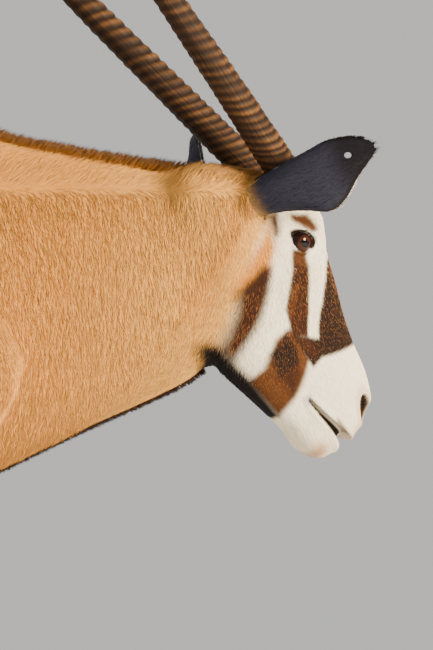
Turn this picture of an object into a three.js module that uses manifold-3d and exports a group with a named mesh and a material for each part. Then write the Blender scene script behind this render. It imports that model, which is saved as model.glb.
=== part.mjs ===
// A gemsbok (Oryx gazella): an adult that stands on all four feet, its neck level and its head
// hanging and turned to its left, with the right ear pricked forward.
// Life size, in millimetres. +X is forward along the body, +Y is the animal's left and +Z is up.
// The origin is on the ground under the middle of the animal's box.
import * as THREE from 'three';
import { mergeVertices } from 'three/addons/utils/BufferGeometryUtils.js';
import Module from 'manifold-3d';

const wasm = await Module();
wasm.setup();

// Driving dimensions.
const withersHeight = 1200;
const gap = 0.3; // left between neighbouring pieces

// The head has its own frame: x forward along the bridge of the nose, y left, z out of the forehead.
// Its origin is midway between the horns where they leave the skull.
const headPlace = new THREE.Vector3(388, 40, 1066);
const headYaw = THREE.MathUtils.degToRad(29);
const headPitch = THREE.MathUtils.degToRad(62);
const headRoll = THREE.MathUtils.degToRad(2);
const headFrame = new THREE.Matrix4()
  .makeRotationFromEuler(new THREE.Euler(headRoll, headPitch, headYaw, 'ZYX'))
  .setPosition(headPlace);

const horn = {
  length: 950, baseRadius: 22.5, tipRadius: 2.5, root: 24, back: 14, apart: 36, height: 2,
  lean: 15.3, spread: 16.5, bendIn: 45, bendBack: 16,
  rings: 27, firstRing: 40, lastRing: 640, ringHeight: 2.4, sides: 10,
};
const eye = { x: 45, y: 56, z: -36, radius: 20, openLong: 17.5, openHigh: 11.5, tilt: 36 };

const coatColours = { fawn: '#c39a69', white: '#e9e1d2', black: '#241c18' };
const materials = {
  fawnCoat: new THREE.MeshStandardMaterial({ color: coatColours.fawn, roughness: 0.85, metalness: 0 }),
  faceCoat: new THREE.MeshStandardMaterial({ color: coatColours.white, roughness: 0.85, metalness: 0 }),
  blackCoat: new THREE.MeshStandardMaterial({ color: coatColours.black, roughness: 0.7, metalness: 0 }),
  hornSheath: new THREE.MeshStandardMaterial({ color: '#5b4330', roughness: 0.5, metalness: 0 }),
  hoofHorn: new THREE.MeshStandardMaterial({ color: '#2c2622', roughness: 0.5, metalness: 0 }),
  eyeGlass: new THREE.MeshStandardMaterial({ color: '#1d0f08', roughness: 0.1, metalness: 0 }),
};

// Small tools.
let seed = 7;
function random() { // a repeatable draw between 0 and 1
  seed = (seed * 16807) % 2147483647;
  return seed / 2147483647;
}
const vary = (amount) => (random() * 2 - 1) * amount;
const point = (x, y, z) => new THREE.Vector3(x, y, z);

// One smooth value at x from a table of stations, each an object with the key and its sizes.
function at(stations, key, x, field, otherwise = 0) {
  const value = (i) => stations[i][field] ?? otherwise;
  const place = (i) => stations[i][key];
  const last = stations.length - 1;
  const up = place(last) > place(0) ? 1 : -1;
  if ((x - place(0)) * up <= 0) return value(0);
  if ((x - place(last)) * up >= 0) return value(last);
  let i = 0;
  while ((x - place(i + 1)) * up > 0) i++;
  const slope = (k) => {
    const a = Math.max(k - 1, 0);
    const b = Math.min(k + 1, last);
    return (value(b) - value(a)) / (place(b) - place(a));
  };
  const span = place(i + 1) - place(i);
  const t = (x - place(i)) / span;
  const h = t * t * (3 - 2 * t);
  return value(i) * (1 - h) + value(i + 1) * h
    + span * (slope(i) * t * (1 - t) * (1 - t) - slope(i + 1) * t * t * (1 - t));
}

// Evenly spaced numbers from a to b, both included.
const steps = (a, b, count) => Array.from({ length: count + 1 }, (_, i) => a + (b - a) * i / count);

// A closed outline about the widest height: [across, up] for each of its sides.
function outline(sides, half, up, down, fullUp = 2, fullDown = 2) {
  return steps(0, 2 * Math.PI, sides).slice(0, sides).map((t) => {
    const c = Math.cos(t);
    const s = Math.sin(t);
    const full = s > 0 ? fullUp : fullDown;
    const across = Math.sign(c) * half * Math.abs(c) ** (2 / full);
    return [across, (s > 0 ? up : down) * Math.sign(s) * Math.abs(s) ** (2 / full)];
  });
}

// Joins rings of points into one closed surface. The rings turn anticlockwise seen against the way they advance.
function loft(rings) {
  const sides = rings[0].length;
  const position = rings.flat().flatMap((p) => [p.x, p.y, p.z]);
  const index = [];
  rings.slice(1).forEach((_, r) => {
    for (let s = 0; s < sides; s++) {
      const a = r * sides + s;
      const b = r * sides + (s + 1) % sides;
      index.push(a, b, b + sides, a, b + sides, a + sides);
    }
  });
  [0, rings.length - 1].forEach((r) => { // a fan over each end
    const middle = new THREE.Vector3();
    rings[r].forEach((p) => middle.addScaledVector(p, 1 / sides));
    position.push(middle.x, middle.y, middle.z);
    const centre = position.length / 3 - 1;
    for (let s = 0; s < sides; s++) {
      const a = r * sides + s;
      const b = r * sides + (s + 1) % sides;
      if (r === 0) index.push(centre, b, a);
      else index.push(centre, a, b);
    }
  });
  const geometry = new THREE.BufferGeometry();
  geometry.setAttribute('position', new THREE.Float32BufferAttribute(position, 3));
  geometry.setIndex(index);
  return geometry;
}

function solid(geometry, matrix) {
  const bare = geometry.clone();
  bare.deleteAttribute('normal');
  bare.deleteAttribute('uv');
  if (matrix) bare.applyMatrix4(matrix);
  const merged = mergeVertices(bare, 1e-4);
  const made = new wasm.Manifold(new wasm.Mesh({
    numProp: 3,
    vertProperties: new Float32Array(merged.attributes.position.array),
    triVerts: new Uint32Array(merged.index.array),
  }));
  if (made.volume() > 0) return made;
  const flipped = merged.index.array.slice();
  for (let i = 0; i < flipped.length; i += 3) [flipped[i], flipped[i + 1]] = [flipped[i + 1], flipped[i]];
  return new wasm.Manifold(new wasm.Mesh({
    numProp: 3,
    vertProperties: new Float32Array(merged.attributes.position.array),
    triVerts: new Uint32Array(flipped),
  }));
}

const joined = (solids) => solids.reduce((whole, next) => whole.add(next));

function largest(made) {
  return made.decompose().reduce((best, piece) => (piece.volume() > best.volume() ? piece : best));
}

function ellipsoid(centre, radii, matrix = new THREE.Matrix4(), across = 16, down = 10) {
  const place = new THREE.Matrix4().makeTranslation(centre.x, centre.y, centre.z)
    .scale(point(...radii));
  return solid(new THREE.SphereGeometry(1, across, down), matrix.clone().multiply(place));
}

// A block that fills the space on the side of a plane that the normal points to.
function beyond(onPlane, normal, reach = 3000) {
  const turn = new THREE.Quaternion().setFromUnitVectors(point(0, 0, 1), normal.clone().normalize());
  const centre = onPlane.clone().addScaledVector(normal.clone().normalize(), reach / 2);
  const place = new THREE.Matrix4().compose(centre, turn, point(1, 1, 1));
  return solid(new THREE.BoxGeometry(reach, reach, reach), place);
}

// The two sides of a thin cut.
function parted(made, onPlane, normal) {
  const along = normal.clone().normalize();
  const front = made.intersect(beyond(onPlane.clone().addScaledVector(along, gap / 2), along));
  const back = made.intersect(beyond(onPlane.clone().addScaledVector(along, -gap / 2), along.clone().negate()));
  return [front, back];
}

function sheet(name, made, material) {
  const mesh = largest(made).getMesh();
  const count = mesh.vertProperties.length / mesh.numProp;
  const position = new Float32Array(count * 3);
  for (let i = 0; i < count; i++) {
    position.set(mesh.vertProperties.subarray(i * mesh.numProp, i * mesh.numProp + 3), i * 3);
  }
  const geometry = new THREE.BufferGeometry();
  geometry.setAttribute('position', new THREE.BufferAttribute(position, 3));
  geometry.setIndex(new THREE.BufferAttribute(new Uint32Array(mesh.triVerts), 1));
  geometry.computeVertexNormals();
  const made3 = new THREE.Mesh(geometry, material);
  made3.name = name;
  return made3;
}

// A flat lock of hair that tapers to its tip: it leaves root along out and bends towards fall.
// flat is the way its broad side faces.
function lock({ root, out, fall, flat, length, width, thick, bend = 1, segments = 3 }) {
  const rings = [];
  const spot = root.clone();
  const way = new THREE.Vector3();
  for (let i = 0; i <= segments; i++) {
    const t = i / segments;
    way.copy(out).lerp(fall, Math.min(1, t * bend)).normalize();
    if (i) spot.addScaledVector(way, length / segments);
    const side = new THREE.Vector3().crossVectors(flat, way).normalize();
    const face = new THREE.Vector3().crossVectors(way, side).normalize();
    const taper = i === segments ? 0.12 : Math.sqrt(1 - 0.75 * t * t);
    const w = width / 2 * taper;
    const d = thick / 2 * taper;
    rings.push([[w, 0], [0, d], [-w, 0], [0, -d]].map(([a, b]) => (
      spot.clone().addScaledVector(side, a).addScaledVector(face, b))));
  }
  return solid(loft(rings));
}

// The trunk: torso and neck in one, as sections across X.
const trunkStations = [
  { x: -1168, top: 985, bottom: 890, half: 40, crest: 2 },
  { x: -1150, top: 1065, bottom: 800, half: 104, crest: 2.1 },
  { x: -1095, top: 1122, bottom: 745, half: 162, crest: 2.2 },
  { x: -1000, top: 1158, bottom: 712, half: 205, crest: 2.1 },
  { x: -860, top: 1172, bottom: 688, half: 222, crest: 2.05 },
  { x: -700, top: 1166, bottom: 642, half: 240, crest: 2.05 },
  { x: -500, top: 1160, bottom: 608, half: 252, crest: 2 },
  { x: -330, top: 1176, bottom: 604, half: 238, crest: 1.85 },
  { x: -200, top: withersHeight - 8, bottom: 620, half: 212, crest: 1.7 },
  { x: -100, top: 1186, bottom: 645, half: 184, crest: 1.7 },
  { x: 0, top: 1149, bottom: 694, half: 150, crest: 1.8 },
  { x: 70, top: 1134, bottom: 728, half: 124, crest: 1.85 },
  { x: 136, top: 1122, bottom: 759, half: 108, crest: 1.9, drift: 2 },
  { x: 204, top: 1112, bottom: 789, half: 98, crest: 1.9, drift: 5 },
  { x: 260, top: 1103, bottom: 818, half: 92, crest: 1.95, drift: 12 },
  { x: 310, top: 1086, bottom: 860, half: 82, crest: 2, drift: 22 },
  { x: 345, top: 1045, bottom: 910, half: 58, crest: 2, drift: 32 },
];
const trunk = (field, x) => at(trunkStations, 'x', x, field);

function trunkSolid(grow = 0) {
  const rows = [-1168, -1158, -1138, ...steps(-1105, -15, 14), ...steps(30, 325, 7), 345];
  const rings = rows.map((x) => {
    const top = trunk('top', x) + grow;
    const bottom = trunk('bottom', x) - grow;
    const neck = THREE.MathUtils.smoothstep(x, -150, 120);
    const widest = bottom + (top - bottom) * (0.45 + 0.05 * neck);
    const ring = outline(24, trunk('half', x) + grow, top - widest, widest - bottom, trunk('crest', x), 2.1);
    return ring.map(([y, z]) => point(x, trunk('drift', x) + y, widest + z));
  });
  return solid(loft(rings));
}

// Legs: front and rear are the side view's outlines, y is the middle and half the half width.
const foreLeg = [
  { z: 1010, front: -70, rear: -190, y: 112, half: 48 },
  { z: 920, front: -5, rear: -212, y: 128, half: 62 },
  { z: 840, front: 28, rear: -216, y: 138, half: 66 },
  { z: 760, front: 2, rear: -212, y: 136, half: 60 },
  { z: 690, front: -42, rear: -196, y: 127, half: 50 },
  { z: 620, front: -60, rear: -170, y: 119, half: 42 },
  { z: 540, front: -68, rear: -154, y: 113, half: 36 },
  { z: 450, front: -73, rear: -142, y: 109, half: 31 },
  { z: 400, front: -67, rear: -142, y: 107, half: 34 },
  { z: 345, front: -76, rear: -135, y: 106, half: 28 },
  { z: 240, front: -82, rear: -128, y: 105, half: 22 },
  { z: 155, front: -80, rear: -130, y: 105, half: 25 },
  { z: 125, front: -73, rear: -132, y: 105, half: 29 },
  { z: 88, front: -60, rear: -116, y: 105, half: 27 },
  { z: 50, front: -44, rear: -112, y: 105, half: 33 },
];
const hindLeg = [
  { z: 1080, front: -905, rear: -1055, y: 92, half: 58 },
  { z: 1000, front: -855, rear: -1118, y: 112, half: 84 },
  { z: 900, front: -818, rear: -1150, y: 124, half: 93 },
  { z: 820, front: -812, rear: -1158, y: 129, half: 90 },
  { z: 740, front: -842, rear: -1150, y: 130, half: 78 },
  { z: 670, front: -905, rear: -1132, y: 126, half: 62 },
  { z: 600, front: -972, rear: -1126, y: 120, half: 47 },
  { z: 540, front: -1014, rear: -1142, y: 115, half: 37 },
  { z: 498, front: -1032, rear: -1162, y: 113, half: 34 },
  { z: 460, front: -1040, rear: -1152, y: 112, half: 36 },
  { z: 415, front: -1047, rear: -1120, y: 111, half: 31 },
  { z: 345, front: -1051, rear: -1107, y: 110, half: 26 },
  { z: 240, front: -1051, rear: -1101, y: 109, half: 23 },
  { z: 160, front: -1046, rear: -1102, y: 109, half: 26 },
  { z: 128, front: -1038, rear: -1105, y: 109, half: 30 },
  { z: 90, front: -1022, rear: -1090, y: 109, half: 28 },
  { z: 50, front: -1005, rear: -1078, y: 109, half: 34 },
];
const coronet = 50; // height where skin gives way to the claws

// side is 1 for the animal's left and -1 for its right; stride moves the foot along X.
function legSolid(stations, side, stride) {
  const top = stations[0].z;
  const rows = [...steps(top, 470, 9), 435, 400, 370, 340, 240, 170, 145, 122, 98, 74, coronet];
  const shift = (z) => stride * THREE.MathUtils.smoothstep(top - z, 150, top - 60);
  const rings = rows.map((z) => {
    const front = at(stations, 'z', z, 'front') + shift(z);
    const rear = at(stations, 'z', z, 'rear') + shift(z);
    const middle = side * at(stations, 'z', z, 'y');
    const half = at(stations, 'z', z, 'half');
    return outline(14, (front - rear) / 2, half, half, 2.2, 2.2)
      .map(([x, y]) => point((front + rear) / 2 + x, middle + y, z));
  });
  const foot = stations[stations.length - 3];
  const dewclaws = [-1, 1].map((way) => ellipsoid(
    point(foot.rear + stride + 4, side * foot.y + way * 15, foot.z - 14), [10, 9, 15],
    new THREE.Matrix4(), 7, 5));
  return joined([solid(loft(rings)), ...dewclaws]);
}

// One claw of a cloven hoof: pointed in front, flat on the floor.
function clawSolid(stations, side, way, stride) {
  const foot = stations[stations.length - 1];
  const middle = side * foot.y + way * 17.5;
  const rows = [{ z: 0, toe: 30, heel: -6 }, { z: 6, toe: 29, heel: -6 }, { z: 28, toe: 14, heel: -4 },
    { z: coronet - gap, toe: -1, heel: 2 }];
  const rings = rows.map(({ z, toe, heel }) => {
    const front = foot.front + toe + stride;
    const rear = foot.rear + heel + stride;
    const width = 15.5 + (z < 20 ? 0.5 : 0);
    return outline(12, 1, width, width, 2.4, 2.4).map(([along, y]) => {
      const slim = along > 0 ? 1 - 0.55 * along * along : 1;
      return point((front + rear) / 2 + along * (front - rear) / 2, middle + y * slim - way * along * 2, z);
    });
  });
  return solid(loft(rings));
}

// The head, as sections across its own x: heights of the top, the widest part and the bottom.
const headStations = [
  { x: -112, top: -112, wide: -124, bottom: -138, half: 16 },
  { x: -90, top: -76, wide: -112, bottom: -160, half: 42 },
  { x: -50, top: -22, wide: -90, bottom: -190, half: 60 },
  { x: -15, top: 4, wide: -68, bottom: -204, half: 68 },
  { x: 20, top: 11, wide: -48, bottom: -210, half: 71 },
  { x: 45, top: 13, wide: -38, bottom: -212, half: 71 },
  { x: 90, top: 13, wide: -48, bottom: -210, half: 60 },
  { x: 135, top: 11, wide: -64, bottom: -203, half: 51 },
  { x: 180, top: 4, wide: -76, bottom: -187, half: 45 },
  { x: 225, top: -1, wide: -78, bottom: -169, half: 40 },
  { x: 262, top: -3, wide: -74, bottom: -154, half: 39 },
  { x: 280, top: -8, wide: -72, bottom: -147, half: 40 },
  { x: 295, top: -16, wide: -72, bottom: -144, half: 39 },
  { x: 312, top: -30, wide: -76, bottom: -139, half: 35 },
  { x: 324, top: -43, wide: -81, bottom: -132, half: 29 },
  { x: 333, top: -58, wide: -86, bottom: -126, half: 20 },
  { x: 339, top: -74, wide: -95, bottom: -117, half: 9 },
];

// Local relief of the head: where, how far it spreads, and how far it stands out.
const headRelief = [
  { x: 42, y: 60, z: 0, spread: 26, out: 6 }, // brow over the eye
  { x: 18, y: 42, z: 6, spread: 24, out: 10 }, // forehead in front of the horn
  { x: 92, y: 56, z: -66, spread: 26, out: 4 }, // cheekbone in front of the eye
  { x: 30, y: 58, z: -128, spread: 48, out: 6 }, // jaw muscle
  { x: -8, y: 62, z: -34, spread: 26, out: -5 }, // hollow behind the eye
  { x: 168, y: 44, z: -52, spread: 36, out: -4 }, // hollow of the snout
  { x: 150, y: 45, z: -140, spread: 40, out: 3 }, // lower cheek
  { x: 292, y: 28, z: -28, spread: 20, out: 4 }, // nostril wing
  { x: 302, y: 32, z: -66, spread: 22, out: 3 }, // upper lip
  { x: 252, y: 38, z: -112, spread: 20, out: -3 }, // corner of the mouth
  { x: 308, y: 20, z: -126, spread: 24, out: 3 }, // chin
];

function headRing(x, sides, grow = 0) {
  const value = (field) => at(headStations, 'x', x, field);
  const muzzle = THREE.MathUtils.smoothstep(x, 180, 270);
  const brow = Math.exp(-(((x - 40) / 60) ** 2));
  const fullTop = 2.1 + 0.7 * brow + 0.4 * muzzle;
  const fullBottom = 2.1 + 0.6 * THREE.MathUtils.smoothstep(x, -60, 40);
  const up = value('top') - value('wide') + grow;
  const down = value('wide') - value('bottom') + grow;
  return outline(sides, value('half') + grow, up, down, fullTop, fullBottom).map(([y, z]) => {
    const here = point(x, y, value('wide') + z);
    const away = point(0, y / (value('half') || 1), z / (z > 0 ? up : down)).normalize();
    headRelief.forEach((form) => {
      const far = Math.hypot(x - form.x, Math.abs(y) - form.y, here.z - form.z) / form.spread;
      here.addScaledVector(away, form.out * Math.exp(-far * far));
    });
    return here;
  });
}

function headLoft(grow = 0) {
  const rows = [-112, -102, ...steps(-86, 278, 18), 292, 304, 315, 325, 333, 339];
  return solid(loft(rows.map((x) => headRing(x, 26, grow))), headFrame);
}

// The mouth: a slit from its corner to the lips that runs round the muzzle and widens in front, where the
// lower lip rounds off sooner than the upper one.
function mouthSlit() {
  const corner = { x: 250, upper: -108, lower: -110.5 };
  const lips = { x: 348, upper: -62, lower: -78, drop: 13 };
  const sag = 5;
  const rings = [-60, 60].map((y) => {
    const edge = (which, t, drop) => point(THREE.MathUtils.lerp(corner.x, lips.x, t), y,
      THREE.MathUtils.lerp(corner[which], lips[which], t) - sag * Math.sin(Math.PI * t) - drop * t ** 6);
    return [
      ...steps(0, 1, 4).map((t) => edge('upper', t, 0)),
      ...steps(1, 0, 8).map((t) => edge('lower', t, lips.drop)),
    ];
  });
  const core = ellipsoid(point(262, 0, -95), [58, 24, 34], headFrame);
  return solid(loft(rings), headFrame).subtract(core);
}

function nostril(side) {
  const place = headFrame.clone()
    .multiply(new THREE.Matrix4().makeTranslation(302, side * 27, -38))
    .multiply(new THREE.Matrix4().makeRotationFromEuler(new THREE.Euler(
      side * -0.55, THREE.MathUtils.degToRad(24), side * -0.30, 'XYZ')));
  return ellipsoid(point(0, 0, 0), [19, 14, 7.5], place, 12, 8);
}

// The space an eyeball needs, and the almond opening between its lids, which tilts up in front.
function eyeSocket(side) {
  const r = eye.radius + gap;
  return ellipsoid(point(eye.x, side * eye.y, eye.z), [r, r, r], headFrame, 14, 10);
}

function eyeOpening(side) {
  const turn = new THREE.Matrix4().makeRotationY(-THREE.MathUtils.degToRad(eye.tilt));
  const place = headFrame.clone()
    .multiply(new THREE.Matrix4().makeTranslation(eye.x, side * (eye.y + 14), eye.z))
    .multiply(turn);
  return ellipsoid(point(0, 0, 0), [eye.openLong, 22, eye.openHigh], place, 14, 8);
}

function headSolid() {
  let made = headLoft();
  [-1, 1].forEach((side) => {
    made = made.add(ellipsoid(point(eye.x, side * (eye.y + 2), eye.z), [30, 21.5, 26], headFrame, 14, 10));
    made = made.subtract(eyeOpening(side)).subtract(nostril(side));
  });
  return made.subtract(mouthSlit());
}

function eyeSolid(side) {
  const r = eye.radius;
  return ellipsoid(point(eye.x, side * eye.y, eye.z), [r, r, r], headFrame, 14, 10);
}

// A horn: a long cone that bends a little in and back, whose lower two thirds carry raised rings.
function hornSolid(side) {
  const lean = THREE.MathUtils.degToRad(horn.lean);
  const spread = THREE.MathUtils.degToRad(horn.spread);
  const way = point(-Math.cos(lean) * Math.cos(spread), side * Math.sin(spread),
    -Math.sin(lean) * Math.cos(spread));
  const bend = point(0, -side * horn.bendIn, -horn.bendBack);
  const start = point(-horn.back, side * horn.apart, horn.height).addScaledVector(way, -horn.root);
  const whole = horn.length + horn.root;
  const along = [[0, 0]];
  for (let i = 0; i < horn.rings; i++) {
    const t = i / horn.rings;
    const next = (i + 1) / horn.rings;
    const place = (q) => horn.firstRing + (horn.lastRing - horn.firstRing) * (0.72 * q + 0.28 * q * q);
    const raise = horn.ringHeight * (1 - 0.45 * t) * (0.85 + 0.3 * random());
    along.push([place(t), 0], [place(t) + (place(next) - place(t)) * 0.55, raise]);
  }
  steps(horn.lastRing, whole, 5).forEach((s) => along.push([s, 0]));
  const across = point(0, 1, 0).addScaledVector(way, -way.y).normalize();
  const up = new THREE.Vector3().crossVectors(way, across);
  const rings = along.map(([s, raise]) => {
    const t = s / whole;
    const radius = THREE.MathUtils.lerp(horn.baseRadius, horn.tipRadius, t ** 1.5) + raise;
    const centre = start.clone().addScaledVector(way, s).addScaledVector(bend, t * t);
    return outline(horn.sides, radius, radius, radius).map(([a, b]) => (
      centre.clone().addScaledVector(across, a).addScaledVector(up, b)));
  });
  return solid(loft(rings), headFrame);
}

// An ear: a spade-shaped cup, rolled at its root. upper and lower are how far its edges stand from its axis.
const earStations = [
  { s: -14, upper: 13, lower: 19, cup: 13 },
  { s: 12, upper: 22, lower: 25, cup: 18 },
  { s: 40, upper: 26, lower: 30, cup: 21 },
  { s: 70, upper: 28, lower: 41, cup: 21 },
  { s: 104, upper: 31, lower: 56, cup: 18 },
  { s: 130, upper: 33, lower: 49, cup: 14 },
  { s: 160, upper: 27, lower: 26, cup: 8 },
  { s: 184, upper: 15, lower: 11, cup: 3 },
  { s: 196, upper: 3, lower: 2, cup: 0 },
];
const ears = {
  right: { side: -1, way: point(0.89, -0.25, 0.39), open: point(0.05, 0.95, -0.10) },
  left: { side: 1, way: point(-0.10, 0.88, 0.44), open: point(0.92, 0.12, 0.10) },
};

function earSolid({ side, way, open }) {
  const along = way.clone().normalize();
  const inward = open.clone().addScaledVector(along, -open.dot(along)).normalize();
  const across = new THREE.Vector3().crossVectors(along, inward).normalize();
  if (across.z < 0) across.negate();
  const root = point(-36, side * 52, -82).applyMatrix4(headFrame);
  const thick = 5;
  const columns = 8;
  const rings = steps(-14, 196, 12).map((s) => {
    const value = (field) => at(earStations, 's', s, field);
    const face = (depth) => steps(-1, 1, columns).map((t) => {
      const wide = t < 0 ? value('lower') : value('upper');
      const arch = value('cup') * (1 - t * t);
      const slim = s > 180 ? 0.6 : 1;
      return root.clone().addScaledVector(along, s + 4 * t * t)
        .addScaledVector(across, wide * Math.sin(t * Math.PI / 2))
        .addScaledVector(inward, depth * slim - arch);
    });
    return [...face(thick / 2), ...face(-thick / 2).reverse()];
  });
  const made = solid(loft(rings));
  if (side > 0) return made;
  const tipHole = root.clone().addScaledVector(along, 158).addScaledVector(across, 4);
  return made.subtract(ellipsoid(tipHole, [5.5, 22, 4.8], new THREE.Matrix4(), 12, 8));
}

// The tail: a slim dock, and a long tuft of overlapping locks about a short core.
const tailPath = new THREE.CatmullRomCurve3([
  point(-1120, 0, 1085), point(-1160, 0, 1068), point(-1196, 3, 1020), point(-1210, 8, 930),
  point(-1212, 12, 820), point(-1208, 15, 720), point(-1204, 16, 640),
]);
function tubeSolid(curve, radius, from, to, count, sides = 10) {
  const rings = steps(from, to, count).map((t) => {
    const centre = curve.getPoint(t);
    const way = curve.getTangent(t);
    const across = point(0, 1, 0).addScaledVector(way, -way.y).normalize();
    const up = new THREE.Vector3().crossVectors(way, across);
    const r = radius(t);
    return outline(sides, r, r, r).map(([a, b]) => (
      centre.clone().addScaledVector(across, a).addScaledVector(up, b)));
  });
  return solid(loft(rings));
}
const tuftStart = 0.52; // share of the tail's path where the tuft begins

function tailTuft() {
  const core = tubeSolid(tailPath, (t) => 18 - 12 * Math.abs(t - 0.7), tuftStart, 1, 4, 8);
  const pieces = [core];
  const tiers = 3;
  const around = 4;
  for (let tier = 0; tier < tiers; tier++) {
    for (let i = 0; i < around; i++) {
      const angle = (i + 0.5 * (tier % 2)) / around * 2 * Math.PI + vary(0.2);
      const out = point(Math.cos(angle), Math.sin(angle), -0.55).normalize();
      pieces.push(lock({
        root: tailPath.getPoint(tuftStart + 0.04 + tier * 0.16).addScaledVector(out, 3),
        out,
        fall: point(Math.cos(angle) * 0.09 + 0.02, Math.sin(angle) * 0.09, -1).normalize(),
        flat: point(Math.cos(angle), Math.sin(angle), 0.1),
        length: 215 + tier * 12 + vary(20),
        width: 42 + vary(4),
        thick: 12,
        bend: 3,
        segments: 3,
      }));
    }
  }
  return joined(pieces);
}

// Short flat locks in two ranks along the crest, which stand up and lean towards the head.
function maneLocks(from, to, count) {
  return steps(from, to, count).map((x, i) => {
    const side = i % 2 ? 1 : -1;
    return lock({
      root: point(x, trunk('drift', x) + side * 4, trunk('top', x) - 9),
      out: point(0.15, side * 0.15, 1).normalize(),
      fall: point(0.8, side * 0.1, 0.6).normalize(),
      flat: point(0, side, 0.1),
      length: 21 + vary(3),
      width: 29,
      thick: 7,
      segments: 2,
    });
  });
}

// The throat's fringe: locks that hang from the lower edge of the neck and lie back.
function throatLocks() {
  return steps(140, 262, 7).map((x, i) => {
    const side = i % 2 ? 1 : -1;
    return lock({
      root: point(x, trunk('drift', x) + side * 5, trunk('bottom', x) + 10),
      out: point(-0.1, side * 0.15, -1).normalize(),
      fall: point(-0.8, side * 0.1, -0.6).normalize(),
      flat: point(0, side, 0.1),
      length: 20 + vary(3),
      width: 28,
      thick: 7,
      segments: 2,
    });
  });
}

// Where the parts meet: each cut is a point on it and the way it faces.
const cuts = {
  neckRoot: [point(-2, 0, 930), point(1, 0, 0.16)],
  poll: [point(-18, 0, -105).applyMatrix4(headFrame),
    point(0.86, 0, 0.5).transformDirection(headFrame)],
};

// A wedge round the top of a leg: everything below a slope from the armpit up to the outer side.
function legWedge(side, back, front, grow) {
  const shape = new THREE.Shape();
  shape.moveTo(28 - grow, 0);
  shape.lineTo(28 - grow, 590);
  shape.lineTo(330, 905 + grow);
  shape.lineTo(330, 0);
  const block = new THREE.ExtrudeGeometry(shape, { depth: front - back + 2 * grow, bevelEnabled: false });
  const place = new THREE.Matrix4().makeBasis(point(0, side, 0), point(0, 0, 1), point(1, 0, 0))
    .setPosition(back - grow, 0, 0);
  return solid(block, place);
}

function build() {
  const group = new THREE.Group();
  const put = (name, made, material) => {
    group.add(sheet(name, made, material));
  };
  const legs = [
    { name: 'foreleg_right', stations: foreLeg, side: -1, stride: 10, back: -232, front: 46, joint: 425 },
    { name: 'foreleg_left', stations: foreLeg, side: 1, stride: -48, back: -232, front: 46, joint: 425 },
    { name: 'hindleg_right', stations: hindLeg, side: -1, stride: -20, back: -1190, front: -800, joint: 505 },
    { name: 'hindleg_left', stations: hindLeg, side: 1, stride: 62, back: -1190, front: -800, joint: 505 },
  ];
  let body = trunkSolid();
  legs.forEach((leg) => {
    body = body.add(legSolid(leg.stations, leg.side, leg.stride));
  });
  let whole = joined([body, headSolid(), ...maneLocks(-225, 262, 29), ...throatLocks()]);
  [-1, 1].forEach((side) => {
    whole = whole.subtract(eyeSocket(side));
  });

  legs.forEach((leg) => {
    const limb = whole.intersect(legWedge(leg.side, leg.back, leg.front, 0));
    whole = whole.subtract(legWedge(leg.side, leg.back, leg.front, gap));
    const [upper, lower] = parted(limb, point(0, 0, leg.joint), point(0, 0, 1));
    put(leg.name + '_upper', upper, materials.fawnCoat);
    put(leg.name + '_lower', lower, materials.faceCoat);
    [-1, 1].forEach((way) => put(leg.name + (way * leg.side > 0 ? '_claw_outer' : '_claw_inner'),
      clawSolid(leg.stations, leg.side, way, leg.stride), materials.hoofHorn));
  });

  const [ahead, torso] = parted(whole, ...cuts.neckRoot);
  const [skull, neck] = parted(ahead, ...cuts.poll);
  put('torso', torso, materials.fawnCoat);
  put('neck', neck, materials.fawnCoat);
  put('head', skull, materials.faceCoat);

  const skin = headLoft(gap).add(trunkSolid(gap));
  [['right', -1], ['left', 1]].forEach(([name, side]) => {
    put('eye_' + name, eyeSolid(side), materials.eyeGlass);
    put('horn_' + name, hornSolid(side).subtract(skin), materials.hornSheath);
    put('ear_' + name, earSolid(ears[name]).subtract(skin), materials.fawnCoat);
  });

  const dock = tubeSolid(tailPath, (t) => 24 - 10 * Math.min(1, t * 1.6), 0, tuftStart - 0.004, 8);
  put('tail', dock.subtract(trunkSolid(gap)), materials.fawnCoat);
  put('tail_tuft', tailTuft().subtract(
    tubeSolid(tailPath, (t) => 24.3 - 10 * Math.min(1, t * 1.6), 0, tuftStart - 0.003, 8)),
  materials.blackCoat);

  // The pieces are drawn from the neck's root. The group moves so that the box stands on the origin.
  const box = new THREE.Box3().setFromObject(group);
  group.position.set(-(box.min.x + box.max.x) / 2, -(box.min.y + box.max.y) / 2, -box.min.z);
  return group;
}

export default build();
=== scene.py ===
import math
import bpy
import numpy as np
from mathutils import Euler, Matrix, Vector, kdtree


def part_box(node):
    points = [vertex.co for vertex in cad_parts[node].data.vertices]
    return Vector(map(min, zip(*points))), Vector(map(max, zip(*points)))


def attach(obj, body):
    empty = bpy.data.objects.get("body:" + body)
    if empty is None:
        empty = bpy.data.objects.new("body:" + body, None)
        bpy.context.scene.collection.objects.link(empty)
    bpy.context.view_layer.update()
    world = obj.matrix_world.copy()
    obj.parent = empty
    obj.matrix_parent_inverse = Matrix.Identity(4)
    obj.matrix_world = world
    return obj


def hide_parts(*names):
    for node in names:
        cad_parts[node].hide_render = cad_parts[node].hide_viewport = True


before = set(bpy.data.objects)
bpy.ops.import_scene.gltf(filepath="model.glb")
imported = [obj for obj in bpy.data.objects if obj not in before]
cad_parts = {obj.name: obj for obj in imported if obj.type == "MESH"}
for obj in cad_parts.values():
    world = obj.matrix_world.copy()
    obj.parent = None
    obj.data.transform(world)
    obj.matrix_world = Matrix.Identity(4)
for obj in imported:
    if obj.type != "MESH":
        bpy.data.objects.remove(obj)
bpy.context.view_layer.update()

mm = 0.001
print("frame loaded")

head = {"place": (388, 40, 1066), "yaw": 29, "pitch": 62, "roll": 2}
eye = {"x": 45, "y": 56, "z": -36, "radius": 20, "openLong": 17.5, "openHigh": 11.5, "tilt": 36,
       "lid": 1.7, "dome": 22.0}

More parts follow.
